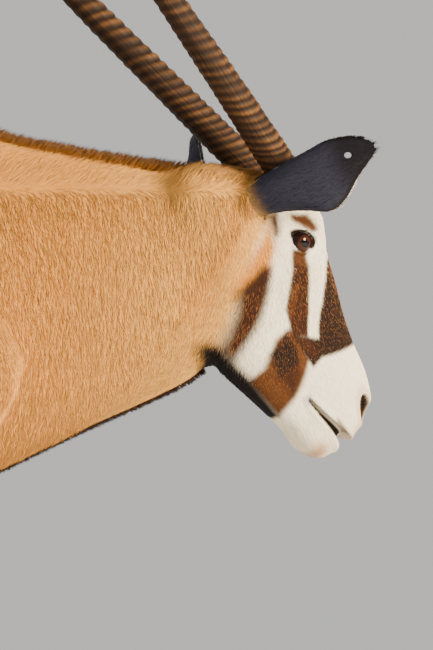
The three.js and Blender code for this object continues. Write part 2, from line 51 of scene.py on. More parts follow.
headTurn = np.array(Euler([math.radians(head[k]) for k in ("roll", "pitch", "yaw")], "XYZ").to_matrix())


def fromHead(points):
    return np.asarray(points, float) @ headTurn.T + head["place"]


def toHead(points):
    return (points - np.array(head["place"])) @ headTurn


eyeLow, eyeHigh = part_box("eye_right")
shift = (np.array(eyeLow) + np.array(eyeHigh)) / 2 / mm - fromHead((eye["x"], -eye["y"], eye["z"]))


def inFrame(points):
    return (points + shift) * mm


def inDrawing(points):
    return points / mm - shift


# Small tools
def stations(fields, *rows):
    return {name: np.array([row[i] for row in rows], float) for i, name in enumerate(fields.split())}


def at(table, field, place):
    keys = next(iter(table.values()))
    xs, ys = (keys, table[field]) if keys[-1] > keys[0] else (keys[::-1], table[field][::-1])
    slope = np.gradient(ys)
    slope[0] = (ys[1] - ys[0]) / (xs[1] - xs[0])
    slope[-1] = (ys[-1] - ys[-2]) / (xs[-1] - xs[-2])
    slope[1:-1] = (ys[2:] - ys[:-2]) / (xs[2:] - xs[:-2])
    place = np.asarray(place, float)
    i = np.clip(np.searchsorted(xs, place) - 1, 0, len(xs) - 2)
    span = xs[i + 1] - xs[i]
    t = np.clip((place - xs[i]) / span, 0, 1)
    h = t * t * (3 - 2 * t)
    bend = slope[i] * t * (1 - t) ** 2 - slope[i + 1] * t * t * (1 - t)
    return ys[i] * (1 - h) + ys[i + 1] * h + span * bend


def ramp(value, low, high):
    t = np.clip((value - low) / (high - low), 0, 1)
    return t * t * (3 - 2 * t)


def mix(a, b, share):
    return a + (b - a) * share


def unit(vectors):
    return vectors / np.maximum(np.linalg.norm(vectors, axis=-1, keepdims=True), 1e-9)


def outline(angle, half, up, down, fullUp=2.0, fullDown=2.0):
    c, s = np.cos(angle), np.sin(angle)
    full = np.where(s > 0, fullUp, fullDown)
    across = np.sign(c) * half * np.abs(c) ** (2 / full)
    return across, np.where(s > 0, up, down) * np.sign(s) * np.abs(s) ** (2 / full)


def ringMesh(rings):
    rows, sides = rings.shape[:2]
    points = [rings.reshape(-1, 3), rings[0].mean(0)[None], rings[-1].mean(0)[None]]
    r, s = np.meshgrid(np.arange(rows - 1), np.arange(sides), indexing="ij")
    a, b = r * sides + s, r * sides + (s + 1) % sides
    quads = np.stack([a, b, b + sides, a + sides], -1).reshape(-1, 4)
    s = np.arange(sides)
    low = np.stack([np.full(sides, rows * sides), (s + 1) % sides, s], -1)
    top = (rows - 1) * sides
    high = np.stack([np.full(sides, rows * sides + 1), top + s, top + (s + 1) % sides], -1)
    return np.concatenate(points), quads.tolist() + low.tolist() + high.tolist()


def meshObject(name, points, faces, smooth=True):
    mesh = bpy.data.meshes.new(name)
    mesh.from_pydata(points.tolist(), [], faces)
    mesh.validate()
    made = bpy.data.objects.new(name, mesh)
    bpy.context.scene.collection.objects.link(made)
    outward(made)
    mesh.shade_smooth() if smooth else mesh.shade_flat()
    return made


def outward(made):
    a, b, c = coords(made)[triangleCorners(made.data)].transpose(1, 0, 2)
    if np.einsum("ij,ij->i", a, np.cross(b, c)).sum() < 0:
        made.data.flip_normals()


def vertexOfCorner(mesh):
    corner = np.zeros(len(mesh.loops), int)
    mesh.loops.foreach_get("vertex_index", corner)
    return corner


def triangleCorners(mesh):
    mesh.calc_loop_triangles()
    corner = np.zeros(len(mesh.loop_triangles) * 3, int)
    mesh.loop_triangles.foreach_get("vertices", corner)
    return corner.reshape(-1, 3)


def triangleCount(made):
    return sum(len(f.vertices) - 2 for f in made.data.polygons)


def coords(made):
    points = np.zeros(len(made.data.vertices) * 3)
    made.data.vertices.foreach_get("co", points)
    return points.reshape(-1, 3)


def setCoords(made, points):
    made.data.vertices.foreach_set("co", points.ravel())
    made.data.update()


def normals(made):
    found = np.zeros(len(made.data.vertices) * 3)
    made.data.vertex_normals.foreach_get("vector", found)
    return found.reshape(-1, 3)


def applied(made):
    mesh = bpy.data.meshes.new_from_object(made.evaluated_get(bpy.context.evaluated_depsgraph_get()))
    made.modifiers.clear()
    made.data = mesh
    return made


def remove(*objects):
    for one in objects:
        bpy.data.objects.remove(one)


def relaxed(made, share, rounds):
    points = coords(made)
    edges = np.zeros(len(made.data.edges) * 2, int)
    made.data.edges.foreach_get("vertices", edges)
    a, b = edges.reshape(-1, 2).T
    count = np.maximum(np.bincount(a, minlength=len(points)) + np.bincount(b, minlength=len(points)), 1)
    for _ in range(rounds):
        total = [np.bincount(a, points[b, k], len(points)) + np.bincount(b, points[a, k], len(points))
                 for k in range(3)]
        points = mix(points, np.stack(total, -1) / count[:, None], share[:, None])
    setCoords(made, points)


def finished(made, finish, slot, *nodes):
    if finish:
        made.data.materials.clear()
        made.data.materials.append(finish)
    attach(made, "root")
    if nodes:
        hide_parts(*nodes)
    return made


def colourAttribute(made, colours, name="coat"):
    layer = made.data.attributes.new(name, "FLOAT_COLOR", "POINT")
    layer.data.foreach_set("color", np.c_[colours, np.ones(len(colours))].ravel())


# The trunk with the neck, and the legs, as sections
coatDepth = {"trunk": 4.5, "leg": 2.0, "head": 1.0}

trunk = stations(
    "x top bottom half crest drift",
    (-1168, 985, 890, 40, 2, 0), (-1150, 1065, 800, 104, 2.1, 0), (-1095, 1122, 745, 162, 2.2, 0),
    (-1000, 1158, 712, 205, 2.1, 0), (-860, 1172, 688, 222, 2.05, 0), (-700, 1166, 642, 240, 2.05, 0),
    (-500, 1160, 608, 252, 2, 0), (-330, 1176, 604, 238, 1.85, 0), (-200, 1192, 620, 212, 1.7, 0),
    (-100, 1186, 645, 184, 1.7, 0), (0, 1149, 694, 150, 1.8, 0), (70, 1134, 728, 124, 1.85, 0),
    (136, 1122, 759, 108, 1.9, 2), (204, 1112, 789, 98, 1.9, 5), (260, 1103, 818, 92, 1.95, 12),
    (310, 1086, 860, 82, 2, 22), (345, 1045, 910, 58, 2, 32))
foreLeg = stations(
    "z front rear y half",
    (1010, -70, -190, 112, 48), (920, -5, -212, 128, 62), (840, 28, -216, 138, 66),
    (760, 2, -212, 136, 60), (690, -42, -196, 127, 50), (620, -60, -170, 119, 42),
    (540, -68, -154, 113, 36), (450, -73, -142, 109, 31),
    (400, -67, -142, 107, 34), (345, -76, -135, 106, 28), (240, -82, -128, 105, 22), (155, -80, -130, 105, 25),
    (125, -73, -132, 105, 29), (88, -60, -116, 105, 27), (50, -44, -112, 105, 33))
hindLeg = stations(
    "z front rear y half",
    (1080, -905, -1055, 92, 58), (1000, -855, -1118, 112, 84), (900, -818, -1150, 124, 93),
    (820, -812, -1158, 129, 90), (740, -842, -1150, 130, 78), (670, -905, -1132, 126, 62),
    (600, -972, -1126, 120, 47), (540, -1014, -1142, 115, 37), (498, -1032, -1162, 113, 34),
    (460, -1040, -1152, 112, 36), (415, -1047, -1120, 111, 31), (345, -1051, -1107, 110, 26),
    (240, -1051, -1101, 109, 23), (160, -1046, -1102, 109, 26), (128, -1038, -1105, 109, 30),
    (90, -1022, -1090, 109, 28), (50, -1005, -1078, 109, 34))
coronet = 50
legs = {
    "foreleg_right": {"table": foreLeg, "side": -1, "stride": 10, "fore": True},
    "foreleg_left": {"table": foreLeg, "side": 1, "stride": -48, "fore": True},
    "hindleg_right": {"table": hindLeg, "side": -1, "stride": -20, "fore": False},
    "hindleg_left": {"table": hindLeg, "side": 1, "stride": 62, "fore": False},
}

# Where the body swells or hollows: x, distance from the middle, z, spread, out
bodyRelief = (
    (-120, 190, 1010, 80, 7), (-5, 150, 850, 60, 8), (-190, 200, 800, 75, 7), (-300, 225, 900, 80, -7),
    (-845, 215, 1010, 85, -12), (-905, 185, 1095, 42, 8), (-990, 215, 880, 100, 6), (-865, 190, 730, 55, 6),
    (-1100, 120, 960, 60, 5), (60, 118, 900, 45, -4), (150, 95, 840, 34, -3), (230, 88, 905, 40, 3),
)


def trunkRings(grow, rows, sides):
    angle = np.linspace(0, 2 * np.pi, sides, endpoint=False)[None]
    x = rows[:, None]
    top, bottom = at(trunk, "top", x) + grow, at(trunk, "bottom", x) - grow
    widest = bottom + (top - bottom) * (0.45 + 0.05 * ramp(x, -150, 120))
    half, crest = at(trunk, "half", x) + grow, at(trunk, "crest", x)
    y, z = outline(angle, half, top - widest, widest - bottom, crest, 2.1)
    return np.stack([x + 0 * y, at(trunk, "drift", x) + y, widest + z], -1)


def stride(leg, z):
    top = leg["table"]["z"][0]
    return leg["stride"] * ramp(top - z, 150, top - 60)


def legRings(leg, grow, rows, sides):
    angle = np.linspace(0, 2 * np.pi, sides, endpoint=False)[None]
    z = rows[:, None]
    front, rear = (at(leg["table"], edge, z) + stride(leg, z) for edge in ("front", "rear"))
    half = at(leg["table"], "half", z) + grow
    x, y = outline(angle, (front - rear) / 2 + grow, half, half, 2.2, 2.2)
    return np.stack([(front + rear) / 2 + x, leg["side"] * at(leg["table"], "y", z) + y, z + 0 * x], -1)


def curve(points, share):
    points = np.array(points, float)
    ends = np.concatenate([2 * points[:1] - points[1:2], points, 2 * points[-1:] - points[-2:-1]])
    place = np.clip(np.asarray(share), 0, 1) * (len(points) - 1)
    i = np.minimum(place.astype(int), len(points) - 2)
    t = (place - i)[:, None]
    a, b, c, d = (ends[i + k] for k in range(4))
    square, cube = 2 * a - 5 * b + 4 * c - d, 3 * b - a - 3 * c + d
    return 0.5 * (2 * b + (c - a) * t + square * t ** 2 + cube * t ** 3)


tail = {"path": ((-1120, 0, 1085), (-1160, 0, 1068), (-1196, 3, 1020), (-1210, 8, 930), (-1212, 12, 820),
                 (-1208, 15, 720), (-1204, 16, 640)),
        "thick": 24, "thin": 14, "dockEnd": 0.6, "tuftStart": 0.52}


def tubeRings(path, radius, sides, squash=1.0):
    way = unit(np.gradient(path, axis=0))
    across = unit(np.cross(way, np.cross(np.array([0.0, 1.0, 0.0]), way)))
    up = np.cross(way, across)
    angle = np.linspace(0, 2 * np.pi, sides, endpoint=False)[None, :, None]
    around = across[:, None] * np.cos(angle) + up[:, None] * np.sin(angle) * squash
    return path[:, None] + around * radius[:, None, None]


def bodyObject():
    rows = np.linspace(-1164, 341, 170)
    made = [meshObject("trunk", *ringMesh(trunkRings(-coatDepth["trunk"], rows, 120)))]
    for leg in legs.values():
        rows = np.linspace(leg["table"]["z"][0], coronet - 3, 150)
        made.append(meshObject("leg", *ringMesh(legRings(leg, -coatDepth["leg"], rows, 48))))
    share = np.linspace(0, tail["dockEnd"], 50)
    radius = tail["thick"] - 3 - (tail["thick"] - tail["thin"]) * np.minimum(1, share * 1.6)
    radius[-4:] *= (0.95, 0.8, 0.5, 0.15)
    made.append(meshObject("dock", *ringMesh(tubeRings(curve(tail["path"], share), radius, 24))))
    with bpy.context.temp_override(active_object=made[0], selected_editable_objects=made):
        bpy.ops.object.join()
    body = made[0]
    fuse = body.modifiers.new("fuse", "REMESH")
    fuse.mode, fuse.voxel_size, fuse.adaptivity = "VOXEL", 9.0, 0
    applied(body)
    relaxed(body, np.full(len(body.data.vertices), 0.5), 3)
    points, out = coords(body), normals(body)
    for x, y, z, spread, push in bodyRelief:
        away = np.c_[points[:, 0] - x, np.abs(points[:, 1]) - y, points[:, 2] - z]
        far = np.linalg.norm(away, axis=1) / spread
        points = points + out * (push * np.exp(-far ** 2))[:, None]
    ribs = np.exp(-((points[:, 0] + 480) / 170) ** 2 - ((points[:, 2] - 850) / 120) ** 2) * np.sin(
        (points[:, 0] + 0.25 * points[:, 2]) / 8.5)
    setCoords(body, points + out * (1.1 * ribs)[:, None])
    return body


# The head
headTable = stations(
    "x top wide bottom half",
    (-112, -112, -124, -138, 16), (-90, -76, -112, -160, 42), (-50, -22, -90, -190, 60),
    (-15, 4, -68, -204, 68),
    (20, 11, -48, -210, 71), (45, 13, -38, -212, 71), (90, 13, -48, -210, 60), (135, 11, -64, -203, 51),
    (180, 4, -76, -187, 45), (225, -1, -78, -169, 40), (262, -3, -74, -154, 39),
    (280, -8, -72, -147, 40), (295, -16, -72, -144, 39), (312, -30, -76, -139, 35),
    (324, -43, -81, -132, 29), (333, -58, -86, -126, 20),
    (339, -74, -95, -117, 9))
headRelief = (
    (42, 60, 0, 26, 6), (18, 42, 6, 24, 10), (92, 56, -66, 26, 4), (30, 58, -128, 48, 6),
    (-8, 62, -34, 26, -5),
    (168, 44, -52, 36, -4), (150, 45, -140, 40, 3), (292, 28, -28, 20, 4), (302, 32, -66, 22, 3),
    (252, 38, -112, 20, -3), (308, 20, -126, 24, 3))
# Finer forms that only the skin has: facial crest, cheek hollow, jaw muscle's front edge, lips, chin groove
fineRelief = (
    (118, 54, -74, 13, 1.6), (140, 48, -84, 15, 1.2), (100, 57, -100, 16, -1.8), (78, 58, -142, 18, 1.6),
    (118, 52, -150, 14, -1.6), (200, 42, -98, 16, -1.3), (228, 38, -96, 11, 1.5), (246, 37, -122, 9, 1.2),
    (276, 36, -60, 15, -1.2), (284, 34, -126, 12, -1.2), (14, 62, 4, 12, -2.0), (66, 52, 2, 12, 1.6),
    (0, 66, -90, 16, -2.0), (56, 66, -86, 14, -1.6), (286, 8, -10, 10, -1.4))
mouth = {"corner": (250, -108, -110.5), "lips": (348, -62, -78), "sag": 5, "drop": 13, "deep": 17,
         "inside": (258, 0, -92)}
nostril = {"place": (302, 27, -38), "radii": (21, 15, 8.5), "turn": (0.55, 24, 0.30), "deep": 17}


def mouthEdges(x):
    t = (x - mouth["corner"][0]) / (mouth["lips"][0] - mouth["corner"][0])
    sag = mouth["sag"] * np.sin(np.pi * np.clip(t, 0, 1))
    upper, lower = (mix(mouth["corner"][k], mouth["lips"][k], t) - sag for k in (1, 2))
    return upper, lower - mouth["drop"] * np.clip(t, 0, 1) ** 6


def eyeParts(p):
    tilt = math.radians(eye["tilt"])
    away = np.stack([p[..., 0] - eye["x"], np.abs(p[..., 1]) - eye["y"], p[..., 2] - eye["z"]], -1)
    u = away[..., 0] * math.cos(tilt) + away[..., 2] * math.sin(tilt)
    v = away[..., 2] * math.cos(tilt) - away[..., 0] * math.sin(tilt)
    return away, u, v


# Share of the way from the middle of an eye's opening to its edge, and whether a point is near that eye
def lidReach(face):
    away, u, v = eyeParts(face)
    near = (away[:, 1] > 0) & (np.linalg.norm(away, axis=1) < 45)
    return np.hypot(u / eye["openLong"], v / eye["openHigh"]), near, v


def nostrilReach(p):
    side = np.where(p[..., 1] > 0, 1.0, -1.0)
    flat = np.stack([p[..., 0], p[..., 1] * -side, p[..., 2]], -1)
    x, y, z = nostril["place"]
    turn = np.array(Euler((nostril["turn"][0], math.radians(nostril["turn"][1]), nostril["turn"][2]),
                          "ZYX").to_matrix())
    local = (flat - np.array((x, -y, z))) @ turn
    return np.linalg.norm(local / nostril["radii"], axis=-1)


def sculpted(p):
    side = np.where(p[..., 1] > 0, 1.0, -1.0)
    # The mouth is open a little in front, between rounded lips.
    upper, lower = mouthEdges(p[..., 0])
    middle, open_ = (upper + lower) / 2, np.maximum((upper - lower) / 2, 0.6)
    off = (p[..., 2] - middle) / (open_ + 1.0)
    along = ramp(p[..., 0], mouth["corner"][0] - 4, mouth["corner"][0] + 14)
    inner = unit(p - np.array(mouth["inside"]))
    slit = along * (1 - ramp(np.abs(off), 0.72, 1.12))
    lip = along * np.exp(-((np.abs(p[..., 2] - middle) - open_ - 5) / 4.5) ** 2)
    p = p + inner * (1.6 * lip - mouth["deep"] * slit)[..., None]
    # Nostrils
    reach = nostrilReach(p)
    inner = unit(p - np.array((270.0, 0.0, -60.0)))
    rim = 1.6 * np.exp(-((reach - 1.3) / 0.25) ** 2)
    p = p + inner * (rim - nostril["deep"] * (1 - ramp(reach, 0.62, 1.08)))[..., None]
    # Lids over the eyeballs
    away, u, v = eyeParts(p)
    far = np.linalg.norm(away, axis=-1)
    q = np.hypot(u / eye["openLong"], v / eye["openHigh"])
    facing = away[..., 1] > 0
    dome = 0.5 * (far + eye["dome"] + np.sqrt((far - eye["dome"]) ** 2 + 5))
    lidded = np.where(facing & (far < 60), dome, far)
    fold = 1.5 * np.exp(-((np.hypot(u / 24, (v - 1) / 18) - 1) / 0.10) ** 2) * (v > 0)
    fat = eye["lid"] * 0.5 * np.exp(-((q - 1.16) / 0.14) ** 2)
    lidded = lidded + np.where(facing, fat - fold, 0)
    inside = np.where(facing, 1 - ramp(q, 0.96, 1.05), 0)
    tear = np.where(facing, 1.4 * np.exp(-((u - 21) / 4) ** 2 - ((v + 4) / 2.2) ** 2), 0)
    lidded = mix(lidded - tear, eye["radius"] - 3.0, inside)
    moved = away * (lidded / np.maximum(far, 1e-6))[..., None]
    near = (far < 45)[..., None]
    x, y, z = moved[..., 0] + eye["x"], (moved[..., 1] + eye["y"]) * side, moved[..., 2] + eye["z"]
    whole = np.stack([x, y, z], -1)
    return np.where(near, whole, p)


def headRing(x, angle, grow):
    wide = at(headTable, "wide", x)
    half = at(headTable, "half", x) + grow
    up, down = at(headTable, "top", x) - wide + grow, wide - at(headTable, "bottom", x) + grow
    brow = np.exp(-((x - 40) / 60) ** 2)
    fullUp = 2.1 + 0.7 * brow + 0.4 * ramp(x, 180, 270)
    fullDown = 2.1 + 0.6 * ramp(x, -60, 40)
    y, z = outline(angle, half, up, down, fullUp, fullDown)
    away = unit(np.stack([0 * y, y / half, z / np.where(z > 0, up, down)], -1))
    p = np.stack([x + 0 * y, y, wide + z], -1)
    for fx, fy, fz, spread, out in headRelief + fineRelief:
        far = np.sqrt((x - fx) ** 2 + (np.abs(y) - fy) ** 2 + (p[..., 2] - fz) ** 2) / spread
        p = p + away * (out * np.exp(-far ** 2))[..., None]
    return p


def closeness(p):
    _, u, v = eyeParts(p)
    near = 2.6 * np.exp(-(u / 26) ** 2 - (v / 20) ** 2) * (np.abs(p[..., 1]) > 30)
    upper, lower = mouthEdges(p[..., 0])
    line = np.exp(-((p[..., 2] - (upper + lower) / 2) / 12) ** 2) * ramp(p[..., 0], 235, 255)
    nose = np.exp(-(np.linalg.norm(p - (300, 0, -38), axis=-1) / 40) ** 2)
    return 1 + near + 1.2 * line + nose


headPart = {"columns": 92, "rows": 205}


def headObject():
    # Rows and columns of the surface crowd where the eyes, nostrils and mouth need them.
    x = np.linspace(-112, 339, 1600)
    weight = 1 + 1.5 * np.exp(-((x - eye["x"]) / 24) ** 2)
    weight = weight + 0.9 * ramp(x, 235, 290) + 2.5 * ramp(x, 318, 339)
    total = np.cumsum(weight)
    rows = np.interp(np.linspace(total[0], total[-1], headPart["rows"]), total, x)
    rings = []
    for place in rows:
        angle = np.linspace(np.pi / 2, 1.5 * np.pi, 500)
        half = headRing(place, angle, -coatDepth["head"])
        length = np.linalg.norm(np.diff(half, axis=0), axis=1) * closeness((half[1:] + half[:-1]) / 2)
        total = np.concatenate([[0], np.cumsum(length)])
        want = np.linspace(0, total[-1], headPart["columns"] + 1)
        half = np.stack([np.interp(want, total, half[:, k]) for k in range(3)], -1)
        half[[0, -1], 1] = 0
        other = half[-2:0:-1] * (1, -1, 1)
        rings.append(np.concatenate([half, other]))
    return meshObject("head", *ringMesh(fromHead(sculpted(np.array(rings)))))


# The ears: spade-shaped cups, rolled at the root
earTable = stations(
    "s upper lower cup",
    (-14, 13, 19, 13), (12, 22, 25, 18), (40, 26, 30, 21), (70, 28, 41, 21), (104, 31, 56, 18),
    (130, 33, 49, 14), (160, 27, 26, 8), (184, 15, 11, 3), (196, 3, 2, 0))
ears = {
    "ear_right": {"side": -1, "way": (0.89, -0.25, 0.39), "open": (0.05, 0.95, -0.10)},
    "ear_left": {"side": 1, "way": (-0.10, 0.88, 0.44), "open": (0.92, 0.12, 0.10)},
}
earShape = {"root": (-36, 52, -82), "thick": 4.0, "columns": 34, "rows": 70}
# The right ear's small hole near its tip: its place along the ear and across it, and half its size
earHole = {"along": 158, "across": 4, "wide": 5.3, "high": 4.6, "deep": 22}


def earAxes(ear):
    along = unit(np.array(ear["way"]))
    inward = unit(np.array(ear["open"]) - along * np.dot(ear["open"], along))
    across = unit(np.cross(along, inward))
    if across[2] < 0:
        across = -across
    x, y, z = earShape["root"]
    return fromHead((x, ear["side"] * y, z)), along, inward, across


def earObject(ear):
    root, along, inward, across = earAxes(ear)
    s = np.linspace(-12, 194.5, earShape["rows"])[:, None, None]
    faces = []
    turn = np.linspace(-1, 1, earShape["columns"])[None, :, None]
    for way in (1, -1):
        t = turn * way
        wide = np.where(t < 0, at(earTable, "lower", s), at(earTable, "upper", s))
        arch = at(earTable, "cup", s) * (1 - t ** 2)
        edge = np.sqrt(np.maximum(1 - t ** 4, 0.0)) * (1 - 0.5 * ramp(s, 150, 194))
        ripple = 1.1 * np.sin(t * 9 + s / 23) * (1 - t ** 2) * ramp(s, 10, 60) * (1 - ramp(s, 150, 190))
        depth = way * earShape["thick"] / 2 * edge + ripple
        faces.append((root + along * (s + 4 * t * t) + across * wide * np.sin(t * np.pi / 2)
                      + inward * (depth - arch))[:, :-1])
    made = meshObject("ear", *ringMesh(np.concatenate(faces, 1)))
    if ear["side"] > 0:
        return made
    return combined("DIFFERENCE", made, meshObject("hole", *ringMesh(holeRings(root, along, across))))


def holeRings(root, along, across):
    fall = np.linspace(0.06, np.pi - 0.06, 18)[:, None]
    turn = np.linspace(0, 2 * np.pi, 26, endpoint=False)[None]
    ball = np.stack([earHole["wide"] * np.sin(fall) * np.cos(turn), earHole["deep"] * np.cos(fall) + 0 * turn,
                     earHole["high"] * np.sin(fall) * np.sin(turn)], -1)
    return root + along * earHole["along"] + across * earHole["across"] + ball


def combined(operation, base, *others):
    for other in others:
        cut = base.modifiers.new("combine", "BOOLEAN")
        cut.operation, cut.solver, cut.object = operation, "MANIFOLD", other
        applied(base)
        remove(other)
    return base


def nearest(points, targets):
    tree = kdtree.KDTree(len(targets))
    for i, one in enumerate(targets):
        tree.insert(one, i)
    tree.balance()
    return np.array([tree.find(one)[2] for one in points])


def skinObject():
    body, skull = bodyObject(), headObject()
    earPieces = [earObject(ear) for ear in ears.values()]
    known = [coords(body), coords(skull)] + [coords(one) for one in earPieces]
    print("body, head and ears shaped", [len(one) for one in known])
    skin = combined("UNION", body, skull, *earPieces)
    skin.name = "skin"
    points = coords(skin)
    every = np.concatenate(known)
    seam = points[nearest(points, every) > 0.01]
    print("fused", len(points), "points,", len(seam), "on the seams")
    reach = nearest(points, seam)
    face = toHead(points)
    byNeck = face[:, 0] + 0.6 * face[:, 2] < -60
    relaxed(skin, 0.6 * np.exp(-(reach / np.where(byNeck, 38.0, 8.0)) ** 2), 60)
    skin.data.shade_smooth()
    return skin


# Which part of the coat a point is on, where it sits on the skin's unwrap, how its hair lies and its colour
def legMiddle(leg, z):
    x = (at(leg["table"], "front", z) + at(leg["table"], "rear", z)) / 2 + stride(leg, z)
    return x, leg["side"] * at(leg["table"], "y", z)


def earPlace(name, p):
    root, along, inward, across = earAxes(ears[name])
    s, a, b = ((p - root) @ way for way in (along, across, inward))
    wide = np.where(a < 0, at(earTable, "lower", s), at(earTable, "upper", s))
    t = np.arcsin(np.clip(a / wide, -1, 1)) * 2 / np.pi
    s = s - 4 * t * t
    return s, a, t, b + at(earTable, "cup", s) * (1 - t * t)


parts = ("trunk", "head", *ears, *legs, "tail")


# How far a point in the head's own axes is in front of the plane where the neck ends
def pastNeck(face):
    return (face - (-18, 0, -105)) @ (0.86, 0, 0.5)


def partOf(p):
    part = np.zeros(len(p), int)
    x, y, z = p.T
    part[pastNeck(toHead(p)) > 0] = parts.index("head")
    for name, leg in legs.items():
        middle, across = legMiddle(leg, z)
        reach = np.abs(x - middle) < 75 + 0.3 * np.maximum(z - 500, 0)
        below = 690 if leg["fore"] else 700
        part[(z < below) & reach & (y * leg["side"] > 20)] = parts.index(name)
    onTail = (x < -1122) & (np.abs(y) < 40) & (z < 1075) & (x < -1172 + 0.25 * (z - 1000))
    part[onTail] = parts.index("tail")
    for name in ears:
        s, a, t, b = earPlace(name, p)
        wide = np.where(a < 0, at(earTable, "lower", s), at(earTable, "upper", s))
        part[(s > 12) & (s < 205) & (np.abs(a) < wide + 5) & (np.abs(b) < 7)] = parts.index(name)
    return part


def capped(x, start, size, across):
    beyond = np.maximum((x - start) * np.sign(size), 0)
    turn = np.arctan2(beyond, across)
    return np.where(beyond > 0, start + size * turn, x)


boxes = {"trunk": (0.005, 0.42, 0.995, 0.985), "head": (0.005, 0.205, 0.455, 0.405),
         "ear_right": (0.465, 0.205, 0.665, 0.405), "ear_left": (0.675, 0.205, 0.875, 0.405),
         "foreleg_right": (0.005, 0.01, 0.245, 0.19), "foreleg_left": (0.255, 0.01, 0.495, 0.19),
         "hindleg_right": (0.505, 0.01, 0.745, 0.19), "hindleg_left": (0.755, 0.01, 0.995, 0.19),
         "tail": (0.885, 0.205, 0.995, 0.405)}


def around(across, up):
    return (np.arctan2(up, across) + np.pi / 2) / (2 * np.pi) % 1.0


def unwrapped(p, out, part):
    place = np.zeros((len(p), 2))
    x, y, z = p.T
    for i, name in enumerate(parts):
        on = part == i
        if not on.any():
            continue
        q = p[on]
        if name == "trunk":
            widest = at(trunk, "bottom", q[:, 0]) * 0.52 + at(trunk, "top", q[:, 0]) * 0.48
            across, up = q[:, 1] - at(trunk, "drift", q[:, 0]), q[:, 2] - widest
            along = capped(q[:, 0], -980, -210, np.hypot(across, up))
            u, v = (along + 1320) / 1730, around(across, up)
        elif name == "head":
            q = toHead(q)
            across, up = q[:, 1], q[:, 2] - at(headTable, "wide", q[:, 0])
            along = capped(q[:, 0], 285, 50, np.hypot(across, up))
            u, v = (along + 130) / 500, around(across, up)
        elif name in ears:
            s, a, t, b = earPlace(name, q)
            inner = out[on] @ earAxes(ears[name])[2] > 0
            u, v = (s + 5) / 215, (0.25 + 0.235 * a / 66) + 0.5 * inner
        elif name in legs:
            middle, across = legMiddle(legs[name], q[:, 2])
            u, v = q[:, 2] / 730, around(q[:, 1] - across, q[:, 0] - middle)
        else:
            u, v = (q[:, 2] - 600) / 520, around(q[:, 1] - 4, q[:, 0] + 1200)
        low, left, high, right = boxes[name]
        place[on] = np.c_[low + (high - low) * np.clip(u, 0, 1), left + (right - left) * v]
    return place


def polar(p):
    face = toHead(p)
    return face, np.degrees(np.arctan2(np.abs(face[:, 1]), face[:, 2] + 75))


def patch(u, v, corners, soft):
    corners = np.array(corners, float)
    best, inside = np.full(u.shape, 1e9), np.zeros(u.shape, bool)
    for a, b in zip(corners, np.roll(corners, -1, 0)):
        edge = b - a
        t = np.clip(((u - a[0]) * edge[0] + (v - a[1]) * edge[1]) / (edge @ edge), 0, 1)
        best = np.minimum(best, np.hypot(u - a[0] - t * edge[0], v - a[1] - t * edge[1]))
        if edge[1]:
            inside ^= ((a[1] > v) != (b[1] > v)) & (u < edge[0] * (v - a[1]) / edge[1] + a[0])
    return ramp(np.where(inside, best, -best), -soft, soft)


colours = {name: np.array(colour) for name, colour in {
    "fawn": (0.54, 0.215, 0.032), "pale": (0.70, 0.38, 0.095), "white": (0.86, 0.77, 0.58),
    "gold": (0.30, 0.115, 0.024), "tawny": (0.085, 0.030, 0.008), "brown": (0.036, 0.012, 0.005),
    "dark": (0.016, 0.008, 0.005), "black": (0.006, 0.004, 0.004), "slateInShade": (0.030, 0.030, 0.046),
    "grey": (0.36, 0.32, 0.29), "mouthCornerShade": (0.46, 0.42, 0.42), "lid": (0.016, 0.008, 0.006),
}.items()}
# Marks on each side of the face: colour, softness of the edge, and corners as distance along the face from
# between the horns in millimetres, and degrees round it from the bridge of the nose
faceMarks = (
    ("pale", 12, ((-140, 40), (-30, 50), (20, 108), (90, 148), (135, 168), (120, 182), (-140, 182))),
    ("fawn", 26, ((-180, 20), (-70, 40), (-35, 85), (45, 150), (105, 182), (-180, 182))),
    ("fawn", 8, ((-140, -9), (-30, -9), (-26, 52), (-140, 60))),
    # The stripe across the cheek, the jaw with its diamond, and the stripe below the eye
    ("fawn", 8, ((0, 84), (28, 118), (50, 140), (70, 146), (65, 112), (30, 90))),
    ("brown", 7, ((46, 112), (62, 140), (95, 152), (130, 168), (152, 166), (118, 140), (85, 118),
                  (55, 103))),
    ("tawny", 5, ((145, 115), (150, 135), (180, 155), (187, 169), (255, 169), (240, 148), (200, 105),
                  (160, 108))),
    ("dark", 3.5, ((150, 122), (165, 145), (205, 149), (200, 125), (180, 118))),
    ("brown", 6, ((200, 149), (236, 148), (210, 128), (197, 128))),
    ("brown", 2.5, ((50, 74), (75, 82), (120, 108), (160, 116), (172, 90), (140, 72), (85, 60), (60, 62))),
    ("tawny", 4, ((50, 74), (70, 76), (80, 61), (60, 61))),
    ("tawny", 4, ((92, 86), (120, 108), (137, 110), (116, 88), (98, 80))),
    # The patch over the nose, its arm to the cheek, and the patch on the forehead
    ("dark", 3, ((80, -9), (92, 32), (140, 48), (182, 70), (160, 116), (200, 108), (214, 106), (208, 80),
                 (215, 45), (226, -9))),
    ("brown", 5, ((158, 113), (172, 90), (200, 80), (200, 100), (182, 110))),
    ("dark", 5, ((-36, -9), (-36, 26), (15, 22), (86, 9), (86, -9))),
    # The brow, a streak behind it, the upper lip, a patch of painted shade at the corner of the mouth, and the
    # throat
    ("tawny", 3, ((4, 57), (12, 60), (40, 52), (43, 46), (17, 45))),
    ("tawny", 5, ((-10, 68), (-6, 80), (20, 88), (22, 80))),
    ("tawny", 6, ((292, 104), (328, 90), (332, 94), (298, 108))),
    # A grey patch of painted shade at the corner of the mouth
    ("mouthCornerShade", 5, ((244, 142), (245, 130), (257, 130), (258, 142))),
    ("black", 4, ((70, 172), (130, 166), (180, 164), (253, 168), (260, 189), (70, 189))),
)


def painted(colour, name, share, strength=1.0):
    return mix(colour, colours[name] * strength, share[:, None])


